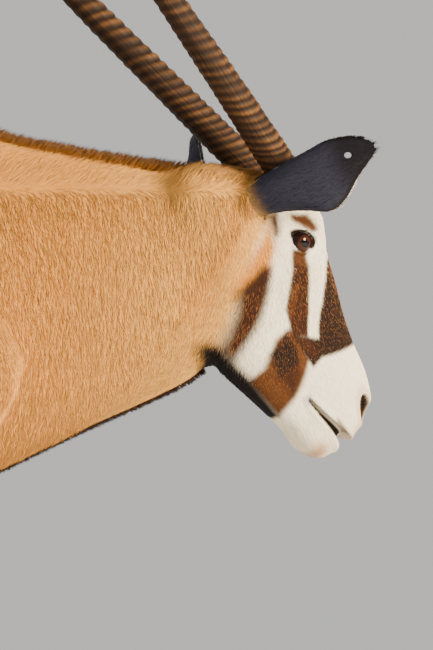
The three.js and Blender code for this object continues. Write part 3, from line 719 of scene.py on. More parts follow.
def faceColours(p):
    face, turn = polar(p)
    x, _, z = face.T
    colour = np.tile(colours["white"], (len(p), 1))
    for name, soft, corners in faceMarks:
        colour = painted(colour, name, patch(x, turn, corners, soft))
    # Lids, the edges of the lips and nostrils, the inside of the mouth and a tan chin
    q, near, v = lidReach(face)
    wide = mix(1.14, 1.36, ramp(v, -6, 4))
    colour = painted(colour, "lid", (1 - ramp(q, wide - 0.16, wide)) * near)
    upper, lower = mouthEdges(x)
    off = np.abs(z - (upper + lower) / 2) - (upper - lower) / 2
    corner = mouth["corner"][0]
    colour = painted(colour, "dark", (1 - ramp(off, -0.5, 3.0)) * ramp(x, corner - 3, corner + 6))
    reach = nostrilReach(face)
    colour = painted(colour, "black", 1 - ramp(reach, 0.92, 1.16))
    tan = np.exp(-((x - 325) / 16) ** 2 - ((z + 122) / 15) ** 2) * 0.75
    tan += 0.5 * np.exp(-((x - 330) / 12) ** 2 - ((z + 62) / 12) ** 2)
    tan += 0.35 * np.exp(-((reach - 1.25) / 0.3) ** 2)
    return painted(colour, "gold", np.clip(tan, 0, 0.8), 1.3)


def earColours(name, p, out):
    s, _, t, _ = earPlace(name, p)
    inner = out @ earAxes(ears[name])[2] > 0
    # The back of the ear is fawn at the root and dark bluish grey beyond: partly its own dark colour and
    # partly painted shade that darkens and blues it. It is black towards the tip and edges.
    back = painted(colours["pale"] * 0.8, "slateInShade", ramp(s, -6, 34))
    back = painted(back, "black", ramp(s, 120, 160) * 0.8)
    back = painted(back, "black", ramp(np.abs(t), 0.72, 0.92) * 0.8)
    # Inside, the ear is white and greyer towards the middle of the cup, where the grey is painted shade in the
    # hollow. It is black at the tip and along the edges.
    cup = painted(colours["white"] * 0.86, "grey", (1 - np.abs(t)) ** 0.7, 0.5)
    cup = painted(cup, "black", np.maximum(ramp(s, 140, 170), ramp(t, 0.86, 0.97)))
    return np.where(inner[:, None], cup, back)


def legColours(leg, p, out):
    x, _, z = p.T
    middle, _ = legMiddle(leg, z)
    facing = out[:, 0]
    if leg["fore"]:
        knee, elbow, high = 462 + 14 * facing, 632 + 0.25 * (x - middle), 425
    else:
        knee, elbow, high = 560 + 18 * facing, 700 + 0.35 * (x - middle), 400
    colour = painted(colours["white"], "fawn", ramp(z, elbow - 6, elbow + 20))
    band = ramp(z, knee - 12, knee + 12) * (1 - ramp(z, elbow - 10, elbow + 14))
    shank = ramp(facing, 0.35, 0.7) * ramp(z, 118, 140) * (1 - ramp(z, high - 20, high))
    hoofEdge = (1 - ramp(z, 54, 66)) * 0.7
    for share in (band, shank, hoofEdge):
        colour = painted(colour, "dark", share)
    return colour


# The dark mark over the hind legs, as x and z
thighCorners = ((-850, 700), (-935, 742), (-1040, 742), (-1150, 700), (-1150, 600), (-850, 600))


def trunkColours(p, out):
    x, y, z = p.T
    top, bottom = at(trunk, "top", x), at(trunk, "bottom", x)
    share = (z - bottom) / (top - bottom)
    off = np.abs(y - at(trunk, "drift", x))
    neck = ramp(x, -120, 60)
    light = 0.25 + 0.30 * neck * ramp(x, 60, 260) + 0.2 * (1 - share) * neck
    colour = painted(colours["fawn"], "pale", light)
    belly = (1 - ramp(share, 0.09, 0.13)) * (1 - ramp(x, -140, -60)) * ramp(x, -1010, -880)
    colour = painted(colour, "white", belly)
    width = 0.065 + 0.03 * ramp(x, -330, -120) + 0.05 * (1 - ramp(x, -880, -640))
    middle = 0.175 + 0.02 * np.cos(x / 130)
    flank = 1 - ramp(np.abs(share - middle), width - 0.015, width + 0.02)
    flank = flank * ramp(x, -985, -900) * (1 - ramp(x, -110, -40))
    # The dark line under the throat widens over the chest. Another runs along the back.
    throat = 7 + 26 * (1 - ramp(x, -90, 60)) + 4 * ramp(x, 180, 260)
    line = (1 - ramp(off, throat * 0.7, throat * 1.3)) * (1 - ramp(share, 0.02, mix(0.25, 0.07, neck)))
    line = line * ramp(x, -170, -90)
    crest = (1 - ramp(off, 8 - 5 * neck, 20 - 11 * neck)) * ramp(share, 0.85, 0.95) * (0.9 - 0.35 * neck)
    rump = (1 - ramp(off, 42, 66)) * (1 - ramp(x, -1085, -1030)) * ramp(z, 1000, 1060)
    for dark in (flank, line, crest, rump):
        colour = painted(colour, "dark", dark)
    seat = (1 - ramp(x, -1140, -1080)) * (1 - ramp(off, 60, 130))
    seat = seat * ramp(z, 730, 820) * (1 - ramp(z, 930, 1020))
    colour = painted(colour, "white", 0.35 * seat)
    thigh = patch(x, z, thighCorners, 14)
    return painted(colour, "dark", thigh * (x < -830))


def coatColours(p, out, part):
    colour = np.zeros((len(p), 3))
    for i, name in enumerate(parts):
        on = part == i
        if not on.any():
            continue
        if name == "head":
            colour[on] = faceColours(p[on])
        elif name in ears:
            colour[on] = earColours(name, p[on], out[on])
        elif name in legs:
            colour[on] = legColours(legs[name], p[on], out[on])
        elif name == "tail":
            colour[on] = mix(colours["dark"], colours["fawn"], 0.15)
        else:
            colour[on] = trunkColours(p[on], out[on])
    # The neck runs into the head with no edge between their colours.
    face = toHead(p)
    border = pastNeck(face)
    close = (border > -40) & (part <= parts.index("head"))
    below = at(headTable, "bottom", face[close, 0]) - face[close, 2]
    share = ramp(border[close], -40, 40) * (1 - ramp(below, 4, 30))
    inner = faceColours(p[close])
    outer = trunkColours(p[close], out[close])
    colour[close] = mix(outer, inner, share[:, None])
    return colour


def hairLie(p, out, part):
    x, y, z = p.T
    neck = ramp(x, -150, 10)
    parting = 1078 + 60 * (1 - ramp(x, -160, 20))
    rise = ramp(z, parting - 14, parting + 14)
    down = np.stack([0.25 + 0 * x, 0 * x, -1 + 0 * x], -1)
    up = np.stack([0.8 + 0 * x, 0 * x, 1 + 0 * x], -1)
    onNeck = mix(down, up, rise[:, None])
    onTrunk = np.stack([-1 + 0 * x, 0 * x, -0.45 + 0 * x], -1)
    lie = mix(onTrunk, onNeck, neck[:, None])
    face = toHead(p)
    jaw = ramp(-face[:, 2], 60, 150)
    onFace = np.stack([1 + 0 * x, 0 * x, -0.8 * jaw], -1) @ headTurn.T
    onHead = part == parts.index("head")
    blend = ramp(pastNeck(face), -30, 60)
    lie = np.where(onHead[:, None], mix(lie, onFace, blend[:, None]), lie)
    for name in ears:
        lie[part == parts.index(name)] = earAxes(ears[name])[1]
    for name in (*legs, "tail"):
        lie[part == parts.index(name)] = (0.0, 0.0, -1.0)
    lie = lie - out * np.einsum("ij,ij->i", lie, out)[:, None]
    return unit(lie)


# Finishes
def nodeGroup(name, inputs, outputs):
    tree = bpy.data.node_groups.new(name, "ShaderNodeTree")
    for given, kind, value in inputs:
        socket = tree.interface.new_socket(given, in_out="INPUT", socket_type=kind)
        if value is not None:
            socket.default_value = value
    for given, kind in outputs:
        tree.interface.new_socket(given, in_out="OUTPUT", socket_type=kind)
    return tree, tree.nodes.new("NodeGroupInput"), tree.nodes.new("NodeGroupOutput")


# A node with its settings, whose inputs are given as constants or as other nodes' sockets
def added(tree, kind, inputs=None, **settings):
    node = tree.nodes.new(kind)
    for key, value in settings.items():
        setattr(node, key, value)
    for key, value in (inputs or {}).items():
        if isinstance(value, bpy.types.NodeSocket):
            tree.links.new(value, node.inputs[key])
        else:
            node.inputs[key].default_value = value
    return node


# Uneven streaks that run along the first way of a vector, for hair, horn and hoof
def streaksGroup():
    tree, given, out = nodeGroup(
        "streaks",
        (("Vector", "NodeSocketVector", None), ("Along", "NodeSocketFloat", 20.0),
         ("Across", "NodeSocketFloat", 300.0), ("Colour", "NodeSocketColor", (0.5, 0.5, 0.5, 1)),
         ("Darkening", "NodeSocketFloat", 0.3)),
        (("Colour", "NodeSocketColor"), ("Height", "NodeSocketFloat")))
    given = given.outputs
    scale = added(tree, "ShaderNodeCombineXYZ",
                  {"X": given["Along"], "Y": given["Across"], "Z": given["Across"]})
    stretched = added(tree, "ShaderNodeVectorMath", {0: given["Vector"], 1: scale.outputs[0]},
                      operation="MULTIPLY")
    fine = added(tree, "ShaderNodeTexNoise",
                 {"Vector": stretched.outputs[0], "Scale": 1.0, "Detail": 2.0, "Roughness": 0.55})
    spread = added(tree, "ShaderNodeMapRange",
                   {"Value": fine.outputs[0], "From Min": 0.3, "From Max": 0.7, "To Min": 1.0, "To Max": 0.0})
    shade = added(tree, "ShaderNodeMath", {0: spread.outputs[0], 1: given["Darkening"]},
                  operation="MULTIPLY")
    keep = added(tree, "ShaderNodeMath", {0: 1.0, 1: shade.outputs[0]}, operation="SUBTRACT")
    tint = added(tree, "ShaderNodeVectorMath", {0: given["Colour"], "Scale": keep.outputs[0]},
                 operation="SCALE")
    tree.links.new(tint.outputs[0], out.inputs["Colour"])
    tree.links.new(fine.outputs[0], out.inputs["Height"])
    return tree


streaks = streaksGroup()


def finish(name, colour, uv, along, across, darkening, bump, roughness, sockets=None):
    made = bpy.data.materials.new(name)
    made.use_nodes = True
    tree = made.node_tree
    shader = tree.nodes["Principled BSDF"]
    shader.inputs["Roughness"].default_value = roughness
    for key, value in (sockets or {}).items():
        shader.inputs[key].default_value = value
    place = added(tree, "ShaderNodeUVMap", uv_map=uv) if uv else added(tree, "ShaderNodeTexCoord")
    read = added(tree, "ShaderNodeAttribute", attribute_name=colour)
    group = added(tree, "ShaderNodeGroup", node_tree=streaks)
    for key, value in (("Along", along), ("Across", across), ("Darkening", darkening)):
        group.inputs[key].default_value = value
    tree.links.new(place.outputs["UV" if uv else "Object"], group.inputs["Vector"])
    tree.links.new(read.outputs["Color"], group.inputs["Colour"])
    tree.links.new(group.outputs["Colour"], shader.inputs["Base Color"])
    if bump:
        lift = added(tree, "ShaderNodeBump",
                     {"Strength": bump[0], "Distance": bump[1], "Height": group.outputs["Height"]})
        tree.links.new(lift.outputs["Normal"], shader.inputs["Normal"])
    return made


# Each finish: map, scale along and across the streaks, their darkening, bump strength and height, roughness
finishes = {
    "skin": finish("skin hair", "coat", "OFBake", 90, 900, 0.25, (0.6, 0.0015), 0.9,
                   {"Specular IOR Level": 0.12}),
    "coat": finish("coat hair", "coat", None, 60, 60, 0.12, None, 0.75, {"Specular IOR Level": 0.16}),
    "mane": finish("mane hair", "coat", None, 60, 60, 0.10, None, 0.62, {"Specular IOR Level": 0.25}),
    "horn": finish("horn sheath", "coat", "hornMap", 9, 60, 0.6, (0.5, 0.0012), 0.64,
                   {"Specular IOR Level": 0.12}),
    "hoof": finish("hoof horn", "coat", None, 200, 40, 0.45, (0.4, 0.0008), 0.48),
    "eye": finish("eyeball", "coat", None, 400, 400, 0.12, None, 0.12,
                  {"Coat Weight": 0.22, "Coat Roughness": 0.03, "Specular IOR Level": 0.06}),
}


def skinMap(made, p, out, part):
    mesh = made.data
    corner = vertexOfCorner(mesh)
    size = np.array([f.loop_total for f in mesh.polygons])
    start = np.cumsum(size) - size
    owner = np.repeat(part[corner[start]], size)
    place = unwrapped(p[corner], out[corner], owner)
    spread = np.array([boxes[name][3] - boxes[name][1] for name in parts])[owner]
    face = np.repeat(np.arange(len(size)), size)
    high = np.full(len(size), -1.0)
    np.maximum.at(high, face, place[:, 1])
    place[:, 1] += np.where(high[face] - place[:, 1] > 0.5 * spread, spread, 0)
    mesh.uv_layers.new(name="OFBake").data.foreach_set("uv", place.ravel())


def dressedSkin():
    made = skinObject()
    p, out = coords(made), normals(made)
    part = partOf(p)
    skinMap(made, p, out, part)
    colourAttribute(made, coatColours(p, out, part) * 0.92)
    setCoords(made, inFrame(p))
    return finished(made, finishes["skin"], "body_coat", "torso", "neck", "head", *ears, "tail",
                    *[name + end for name in legs for end in ("_upper", "_lower")])


skin = dressedSkin()
print("skin", len(skin.data.vertices), triangleCount(skin))


# Horns: ringed over the lower two thirds, with rings that slope, and smooth and sharp above
horn = {"length": 950, "baseRadius": 22.5, "tipRadius": 2.5, "root": 24, "back": 14, "apart": 36,
        "height": 2, "lean": 15.3, "spread": 16.5, "bendIn": 45, "bendBack": 16,
        "rings": 38, "firstRing": 34, "lastRing": 640, "ringHeight": 2.8, "slope": 12.0, "peak": 0.55,
        "sides": 64, "rows": 660,
        "rootColour": (0.020, 0.010, 0.005), "ridgeColour": (0.165, 0.072, 0.022),
        "tipColour": (0.016, 0.012, 0.009)}


def hornObject(name, side, rng):
    lean, spread = math.radians(horn["lean"]), math.radians(horn["spread"])
    way = np.array((-math.cos(lean) * math.cos(spread), side * math.sin(spread),
                    -math.sin(lean) * math.cos(spread)))
    bend = np.array((0, -side * horn["bendIn"], -horn["bendBack"]))
    start = np.array((-horn["back"], side * horn["apart"], horn["height"])) - way * horn["root"]
    across = unit(np.array((0, 1, 0)) - way * way[1])
    up = np.cross(way, across)
    whole = horn["length"] + horn["root"]
    share = np.linspace(0, 1, horn["rows"])
    s = (whole * (0.92 * share + 0.08 * share ** 2))[:, None]
    t = s / whole
    angle = np.linspace(0, 2 * np.pi, horn["sides"], endpoint=False)[None]
    radius = mix(horn["baseRadius"], horn["tipRadius"], t ** 1.5)
    # Each ring lies nearer the head in front than behind.
    sloped = s - horn["slope"] * np.sin(angle + 0.3 * np.sin(s / 90)) * (radius / horn["baseRadius"])
    edge = np.linspace(0, 1, horn["rings"] + 1)
    edges = horn["firstRing"] + (horn["lastRing"] - horn["firstRing"]) * (0.62 * edge + 0.38 * edge ** 2)
    edges[1:-1] += rng.uniform(-1.6, 1.6, horn["rings"] - 1)
    strength = rng.uniform(0.7, 1.15, horn["rings"]) * (1 - 0.5 * edge[:-1])
    i = np.clip(np.searchsorted(edges, sloped) - 1, 0, horn["rings"] - 1)
    phase = np.clip((sloped - edges[i]) / (edges[i + 1] - edges[i]), 0, 1)
    peak = horn["peak"]
    shape = np.where(phase < peak, np.sin(np.pi * phase / (2 * peak)) ** 1.6,
                     np.cos(np.pi * (phase - peak) / (2 - 2 * peak)) ** 1.6)
    ringed = ramp(sloped, edges[0] - 2, edges[0] + 8) * (1 - ramp(sloped, edges[-1] - 40, edges[-1] + 10))
    front = 0.78 - 0.22 * np.sin(angle) + 0.12 * np.sin(3 * angle + s / 31)
    raised = shape * strength[i] * horn["ringHeight"] * ringed * front
    grooves = 0.28 * np.sin(angle * 23 + 2.2 * np.sin(s / 70) + np.sin(s / 17)) * (1 - ramp(s, 640, 900))
    grooves = grooves + 0.2 * np.sin(angle * 9 + 1.3 + s / 120) * (1 - ramp(s, 700, 930))
    collar = 1.2 * np.exp(-((s - horn["root"] - 6) / 9) ** 2)
    r = (radius - 0.3 + raised + grooves + collar)[..., None]
    centre = start + way * s[..., None] + bend * (t ** 2)[..., None]
    rings = centre + (across * np.cos(angle)[..., None] + up * np.sin(angle)[..., None]) * r
    made = meshObject(name + "_sheath", *ringMesh(fromHead(rings)))
    setCoords(made, inFrame(coords(made)))
    # The ridges of the rings are painted lighter than the valleys between them: painted highlight on the
    # ridges and painted shade in the valleys.
    ridgeHighlight = np.clip(raised / 2.2, 0, 1)
    root, ridge, tip = (np.array(horn[k + "Colour"]) for k in ("root", "ridge", "tip"))
    colour = mix(root, ridge, (ridgeHighlight ** 1.9)[..., None])
    colour = mix(colour, tip, ramp(s + 0 * angle, 520, 800)[..., None])
    colour = np.concatenate([colour.reshape(-1, 3), colour[0, :1], colour[-1, :1]])
    colourAttribute(made, colour)
    mesh = made.data
    last = horn["rows"] * horn["sides"] - 1
    row, column = np.divmod(np.minimum(vertexOfCorner(mesh), last), horn["sides"])
    u, v = row / horn["rows"], column / horn["sides"]
    size = np.array([f.loop_total for f in mesh.polygons])
    face = np.repeat(np.arange(len(size)), size)
    most = np.zeros(len(size))
    np.maximum.at(most, face, v)
    v = np.where((most[face] - v > 0.5), v + 1, v)
    mesh.uv_layers.new(name="hornMap").data.foreach_set("uv", np.c_[u, v * 0.97].ravel())
    return finished(made, finishes["horn"], "horn_sheath", name)


rng = np.random.default_rng(11)
for name, side in (("horn_right", -1), ("horn_left", 1)):
    hornObject(name, side, rng)
print("horns")


# Eyes: dark brown, with a wide level pupil and a pale corner
eyeColours = {name: np.array(colour) for name, colour in {
    "iris": (0.040, 0.011, 0.005), "rim": (0.008, 0.004, 0.003), "corner": (0.24, 0.17, 0.13),
    "pupil": (0.002, 0.002, 0.003)}.items()}


def eyeObject(name, side):
    axis = unit(np.array((0.22, side * 0.96, 0.04)))
    tilt = math.radians(eye["tilt"])
    level = np.array((math.cos(tilt), 0, math.sin(tilt)))
    level = unit(level - axis * (axis @ level))
    other = np.cross(axis, level)
    polar_ = np.linspace(0.03, np.pi - 0.03, 60)[:, None]
    angle = np.linspace(0, 2 * np.pi, 64, endpoint=False)[None]
    bulge = 0.5 * np.exp(-(polar_ / 0.55) ** 4)
    radius = eye["radius"] - 0.5 + bulge
    ring = level * np.cos(angle)[..., None] + other * np.sin(angle)[..., None]
    p = (axis * np.cos(polar_)[..., None] + ring * np.sin(polar_)[..., None]) * radius[..., None]
    place = np.array((eye["x"], side * eye["y"], eye["z"]))
    made = meshObject(name + "_ball", *ringMesh(fromHead(p + place)))
    setCoords(made, inFrame(coords(made)))
    local = toHead(inDrawing(coords(made))) - place
    u, v, w = (local @ way for way in (level, other, axis))
    r = np.hypot(u, v)
    colour = mix(eyeColours["iris"], eyeColours["rim"], ramp(r, 9.5, 12.0)[:, None])
    colour = mix(colour, eyeColours["corner"], (ramp(u, 12.0, 14.0) * ramp(-v, -2.0, 2.0) * (w > 0))[:, None])
    pupil = 1 - ramp(np.hypot(u / 8.0, v / 5.0), 0.85, 1.1)
    colour = mix(colour, eyeColours["pupil"], (pupil * (w > 0))[:, None])
    colourAttribute(made, colour)
    return finished(made, finishes["eye"], "eye_surface", name)


for name, side in (("eye_right", -1), ("eye_left", 1)):
    eyeObject(name, side)


# Claws and dewclaws
claw = {"rows": ((0.0, 30, -6), (6, 29, -6), (28, 14, -4), (50, -1, 2)), "width": 15.5, "between": 17.5}


def clawObject(name, leg, way):
    table = leg["table"]
    middle = leg["side"] * table["y"][-1] + way * claw["between"]
    z = np.concatenate([[0, 0.25, 0.8, 1.8], np.linspace(3, coronet + 3, 44)])[:, None]
    rows = np.array(claw["rows"])
    profile = {"z": rows[:, 0], "toe": rows[:, 1], "heel": rows[:, 2]}
    front = table["front"][-1] + at(profile, "toe", z) + leg["stride"]
    rear = table["rear"][-1] + at(profile, "heel", z) + leg["stride"]
    width = claw["width"] - 0.3 - 0.5 * ramp(z, 10, 30) - 5 * ramp(z, coronet - 6, coronet + 3)
    tuck = np.interp(z, (0, 0.25, 0.8, 1.8, 3), (1.6, 0.9, 0.35, 0.08, 0))
    growth = 0.28 * np.sin(z / 1.55 + 0.8 * np.sin(z / 6))
    angle = np.linspace(0, 2 * np.pi, 48, endpoint=False)[None]
    along, y = outline(angle, 1.0, width, width, 2.4, 2.4)
    slim = np.where(along > 0, 1 - 0.55 * along ** 2, 1)
    grow = (growth - tuck) / 40
    x = (front + rear) / 2 + along * ((front - rear) / 2) * (1 + grow)
    rings = np.stack([x, middle + y * slim * (1 + grow) - way * along * 2, z + 0 * x], -1)
    made = meshObject(f"{name}_horn", *ringMesh(inFrame(rings)))
    height = coords(made)[:, 2] / mm
    base, edge = np.array((0.030, 0.025, 0.022)), np.array((0.11, 0.085, 0.065))
    colour = mix(edge, base, ramp(height, 0, 14)[:, None]) * (1 + 0.25 * np.sin(height / 2.4))[:, None]
    colourAttribute(made, colour)
    return finished(made, finishes["hoof"], "hoof_horn", name)


def dewclawPoints(leg):
    foot = [leg["table"][field][-3] for field in ("z", "front", "rear", "y")]
    polar_ = np.linspace(0.05, np.pi - 0.05, 16)[:, None]
    angle = np.linspace(0, 2 * np.pi, 20, endpoint=False)[None]
    for way in (-1, 1):
        ring = np.stack([12 * np.sin(polar_) * np.cos(angle), 10 * np.sin(polar_) * np.sin(angle),
                         17 * np.cos(polar_) + 0 * angle], -1)
        ring[..., 0] -= 0.3 * ring[..., 2]
        yield ring + (foot[2] + leg["stride"] + 7, leg["side"] * foot[3] + way * 14, foot[0] - 14)


for legName, leg in legs.items():
    for way in (-1, 1):
        which = "outer" if way * leg["side"] > 0 else "inner"
        clawObject(f"{legName}_claw_{which}", leg, way)
    for way, rings in zip((-1, 1), dewclawPoints(leg)):
        made = meshObject(f"{legName}_dewclaw_{'left' if way > 0 else 'right'}", *ringMesh(inFrame(rings)))
        colourAttribute(made, np.tile((0.035, 0.028, 0.024), (len(made.data.vertices), 1)))
        finished(made, finishes["hoof"], "hoof_horn")
print("eyes and claws")


# The coat: each tuft is a thin closed sliver on a root, set there by Geometry Nodes
def sliver(name, segments, bend, fade, sides=3):
    share = np.linspace(0, 1, segments + 1)[:-1]
    points, along, flat = [], [], []
    for t in share:
        wide = math.sqrt(1 - 0.85 * t * t) * (0.8 if t == 0 else 1)
        drop = bend * t * t
        for k in range(sides):
            turn = math.radians((210, 330, 90)[k])
            points.append((t, 0.58 * wide * math.cos(turn), 0.58 * wide * math.sin(turn) - drop))
            along.append(t ** fade)
            flat.append((k / 3 + 0.1, t * 0.8, 0))
    points.append((1.0, 0, -bend))
    along.append(1.0)
    flat.append((0.5, 1.0, 0))
    faces = [(2, 1, 0)]
    for r in range(segments - 1):
        for k in range(sides):
            a, b = r * sides + k, r * sides + (k + 1) % sides
            faces.append((a, b, b + sides, a + sides))
    last = (segments - 1) * sides
    faces += [(last + k, last + (k + 1) % sides, len(points) - 1) for k in range(sides)]
    made = meshObject(name, np.array(points), faces, smooth=segments > 1)
    for key, kind, field, values in (("along", "FLOAT", "value", along),
                                     ("spot", "FLOAT_VECTOR", "vector", flat)):
        layer = made.data.attributes.new(key, kind, "POINT")
        layer.data.foreach_set(field, np.array(values, float).ravel())
    return made


def tuftTree():
    tree = bpy.data.node_groups.new("tufts on roots", "GeometryNodeTree")
    face = tree.interface
    for given, kind, value in (
            ("Roots", "NodeSocketGeometry", None), ("Tuft", "NodeSocketObject", None),
            ("Length", "NodeSocketFloat", 0.01), ("Width", "NodeSocketFloat", 0.002),
            ("Thickness", "NodeSocketFloat", 0.001), ("Unevenness", "NodeSocketFloat", 0.2),
            ("Patch", "NodeSocketFloat", 0.003), ("Seed", "NodeSocketInt", 1),
            ("Finish", "NodeSocketMaterial", None)):
        socket = face.new_socket(given, in_out="INPUT", socket_type=kind)
        if value is not None:
            socket.default_value = value
    face.new_socket("Coat", in_out="OUTPUT", socket_type="NodeSocketGeometry")
    given, out = tree.nodes.new("NodeGroupInput").outputs, tree.nodes.new("NodeGroupOutput")

    def attribute(name, kind="FLOAT_VECTOR"):
        read = added(tree, "GeometryNodeInputNamedAttribute", {"Name": name}, data_type=kind)
        return read.outputs["Attribute"]

    def shown(sockets, name=None):
        return next(s for s in sockets if s.enabled and (name is None or s.name == name))

    # Each tuft's length is drawn between (1 - unevenness) and (1 + unevenness) of the length given.
    draw = added(tree, "FunctionNodeRandomValue", {"Seed": given["Seed"]}, data_type="FLOAT")
    for name, operation in (("Min", "SUBTRACT"), ("Max", "ADD")):
        limit = added(tree, "ShaderNodeMath", {0: 1.0, 1: given["Unevenness"]}, operation=operation)
        tree.links.new(limit.outputs[0], shown(draw.inputs, name))
    long_ = added(tree, "ShaderNodeMath", {0: given["Length"], 1: shown(draw.outputs)},
                  operation="MULTIPLY")
    size = added(tree, "ShaderNodeCombineXYZ",
                 {"X": long_.outputs[0], "Y": given["Width"], "Z": given["Thickness"]})
    scaled = added(tree, "ShaderNodeVectorMath", {0: size.outputs[0], 1: attribute("size")},
                   operation="MULTIPLY")
    turnAlong = added(tree, "FunctionNodeAlignRotationToVector", {"Vector": attribute("lie")}, axis="X")
    turnOut = added(tree, "FunctionNodeAlignRotationToVector",
                    {"Rotation": turnAlong.outputs[0], "Vector": attribute("out")},
                    axis="Z", pivot_axis="X")
    shape = added(tree, "GeometryNodeObjectInfo", {"Object": given["Tuft"]})
    place = added(tree, "GeometryNodeInstanceOnPoints", {
        "Points": given["Roots"], "Instance": shape.outputs["Geometry"], "Rotation": turnOut.outputs[0],
        "Scale": scaled.outputs[0]})
    real = added(tree, "GeometryNodeRealizeInstances", {0: place.outputs[0]})
    # A tuft's map is a small patch at its root's place on the skin's unwrap.
    step = added(tree, "ShaderNodeVectorMath", {0: attribute("spot"), "Scale": given["Patch"]},
                 operation="SCALE")
    spot = added(tree, "ShaderNodeVectorMath", {0: attribute("rootPlace"), 1: step.outputs[0]},
                 operation="ADD")
    map_ = added(tree, "GeometryNodeStoreNamedAttribute", data_type="FLOAT2", domain="CORNER")
    blend = added(tree, "ShaderNodeMix", {"Factor": attribute("along", "FLOAT")}, data_type="RGBA")
    for name, letter in (("rootColour", "A"), ("tipColour", "B")):
        tree.links.new(attribute(name, "FLOAT_COLOR"), shown(blend.inputs, letter))
    paint = added(tree, "GeometryNodeStoreNamedAttribute", data_type="FLOAT_COLOR", domain="POINT")
    for node, name, shapes, value in ((map_, "OFBake", real, spot.outputs[0]),
                                      (paint, "coat", map_, shown(blend.outputs))):
        node.inputs["Name"].default_value = name
        tree.links.new(shapes.outputs[0], node.inputs["Geometry"])
        tree.links.new(value, node.inputs["Value"])
    cover = added(tree, "GeometryNodeSetMaterial",
                  {"Geometry": paint.outputs[0], "Material": given["Finish"]})
    tree.links.new(cover.outputs[0], out.inputs["Coat"])
    return tree


tufts = {"tree": tuftTree(), "short": sliver("short tuft", 1, 0.0, 1),
         "bent": sliver("bent tuft", 3, 0.18, 1.7), "long": sliver("long lock", 6, 0.10, 1)}


rootFields = ("lie", "out", "size", "rootPlace", "rootColour", "tipColour")


def coatPiece(name, slot, roots, tuft, length, width, thick, uneven, seed, finishName, *nodes):
    mesh = bpy.data.meshes.new(name + " roots")
    mesh.from_pydata(roots["at"].tolist(), [], [])
    for key in rootFields:
        kind, field = ("FLOAT_COLOR", "color") if "Colour" in key else ("FLOAT_VECTOR", "vector")
        mesh.attributes.new(key, kind, "POINT").data.foreach_set(field, roots[key].ravel())
    holder = bpy.data.objects.new(name, mesh)
    bpy.context.scene.collection.objects.link(holder)
    grow = holder.modifiers.new("tufts", "NODES")
    grow.node_group = tufts["tree"]
    wanted = {"Tuft": tufts[tuft], "Length": length * mm, "Width": width * mm, "Thickness": thick * mm,
              "Unevenness": uneven, "Patch": 0.003, "Seed": seed, "Finish": finishes[finishName]}
    for item in tufts["tree"].interface.items_tree:
        if item.in_out == "INPUT" and item.name in wanted:
            grow[item.identifier] = wanted[item.name]
    applied(holder)
    for key in (*rootFields, "along", "spot"):
        if key in holder.data.attributes:
            holder.data.attributes.remove(holder.data.attributes[key])
    print(name, len(roots["at"]), "tufts,", triangleCount(holder), "triangles")
    return finished(holder, None, slot, *nodes)


# The skin's triangles, for the roots of the coat
def skinRoots():
    corner = triangleCorners(skin.data)
    p, out = inDrawing(coords(skin)), normals(skin)
    a, b, c = p[corner].transpose(1, 0, 2)
    area = np.linalg.norm(np.cross(b - a, c - a), axis=1) / 2
    return {"p": p, "out": out, "corner": corner, "area": area, "middle": (a + b + c) / 3,
            "part": partOf((a + b + c) / 3)}


surface = skinRoots()


# Roots spread evenly over the skin, one for each small cell that the surface passes through
def spread(mask, spacing, rng):
    chosen = np.flatnonzero(mask)
    expected = surface["area"][chosen] / spacing ** 2 * 5
    total = np.cumsum(expected)
    count = int(total[-1])
    pick = chosen[np.searchsorted(total, rng.uniform(0, total[-1], count))]
    u, v = rng.random(count), rng.random(count)
    over = u + v > 1
    u[over], v[over] = 1 - u[over], 1 - v[over]
    w = np.stack([1 - u - v, u, v], -1)
    corners = surface["corner"][pick]
    p = np.einsum("ij,ijk->ik", w, surface["p"][corners])
    cell = np.floor(p / spacing).astype(int)
    _, first = np.unique(cell, axis=0, return_index=True)
    first.sort()
    out = unit(np.einsum("ij,ijk->ik", w[first], surface["out"][corners[first]]))
    return p[first], out, surface["part"][pick[first]]


def rootsFor(p, out, part, lie, size, lift, depth, rng, stray=0.16, fuzz=2.5, tip=None):
    count = len(p)
    side = np.cross(out, lie)
    turn = rng.normal(0, stray, count)[:, None]
    lie = unit(lie * np.cos(turn) + side * np.sin(turn))
    rise = np.radians(lift * rng.uniform(0.6, 1.5, count))[:, None]
    way = lie * np.cos(rise) + out * np.sin(rise)
    jitter = rng.normal(0, fuzz, (count, 3))
    jitter -= out * np.einsum("ij,ij->i", jitter, out)[:, None]
    colour = coatColours(p + jitter, out, part)
    clump = np.sin(p @ (0.31, 0.12, 0.07)) * np.sin(p @ (-0.05, 0.23, 0.11))
    clump = clump + 0.6 * np.sin(p @ (0.62, -0.2, 0.17))
    shade = (1 + rng.normal(0, 0.10, count) + 0.045 * clump)[:, None]
    shade = shade * np.where(rng.random(count) < 0.08, 0.68, 1)[:, None]
    root = np.clip(colour * shade * 0.86, 0, 1)
    tipColour = np.clip((colour if tip is None else tip) * shade * 1.08, 0, 1)
    one = np.ones((count, 1))
    return {"at": inFrame(p - out * depth), "lie": way, "out": out, "size": size,
            "rootPlace": np.c_[unwrapped(p, out, part), np.zeros(count)],
            "rootColour": np.c_[root, one], "tipColour": np.c_[tipColour, one]}


# Places where no hair grows: the eyes, mouth, nostrils, claws and the ear's hole
def bare(p, part):
    face = toHead(p)
    q, near, _ = lidReach(face)
    onEye = (q < 1.22) & near
    upper, lower = mouthEdges(face[:, 0])
    inMouth = (face[:, 0] > mouth["corner"][0] - 2) & (face[:, 2] < upper + 2) & (face[:, 2] > lower - 2)
    inNose = nostrilReach(face) < 1.2
    root, along, inward, across = earAxes(ears["ear_right"])
    hole = np.cross(p - root - along * earHole["along"] - across * earHole["across"], (0.0, 1.0, 0.0))
    inHole = (np.linalg.norm(hole, axis=1) < earHole["wide"] + 1.5) & (part == parts.index("ear_right"))
    return ((onEye | inMouth | inNose) & (part == parts.index("head"))) | inHole | (p[:, 2] < coronet + 2)


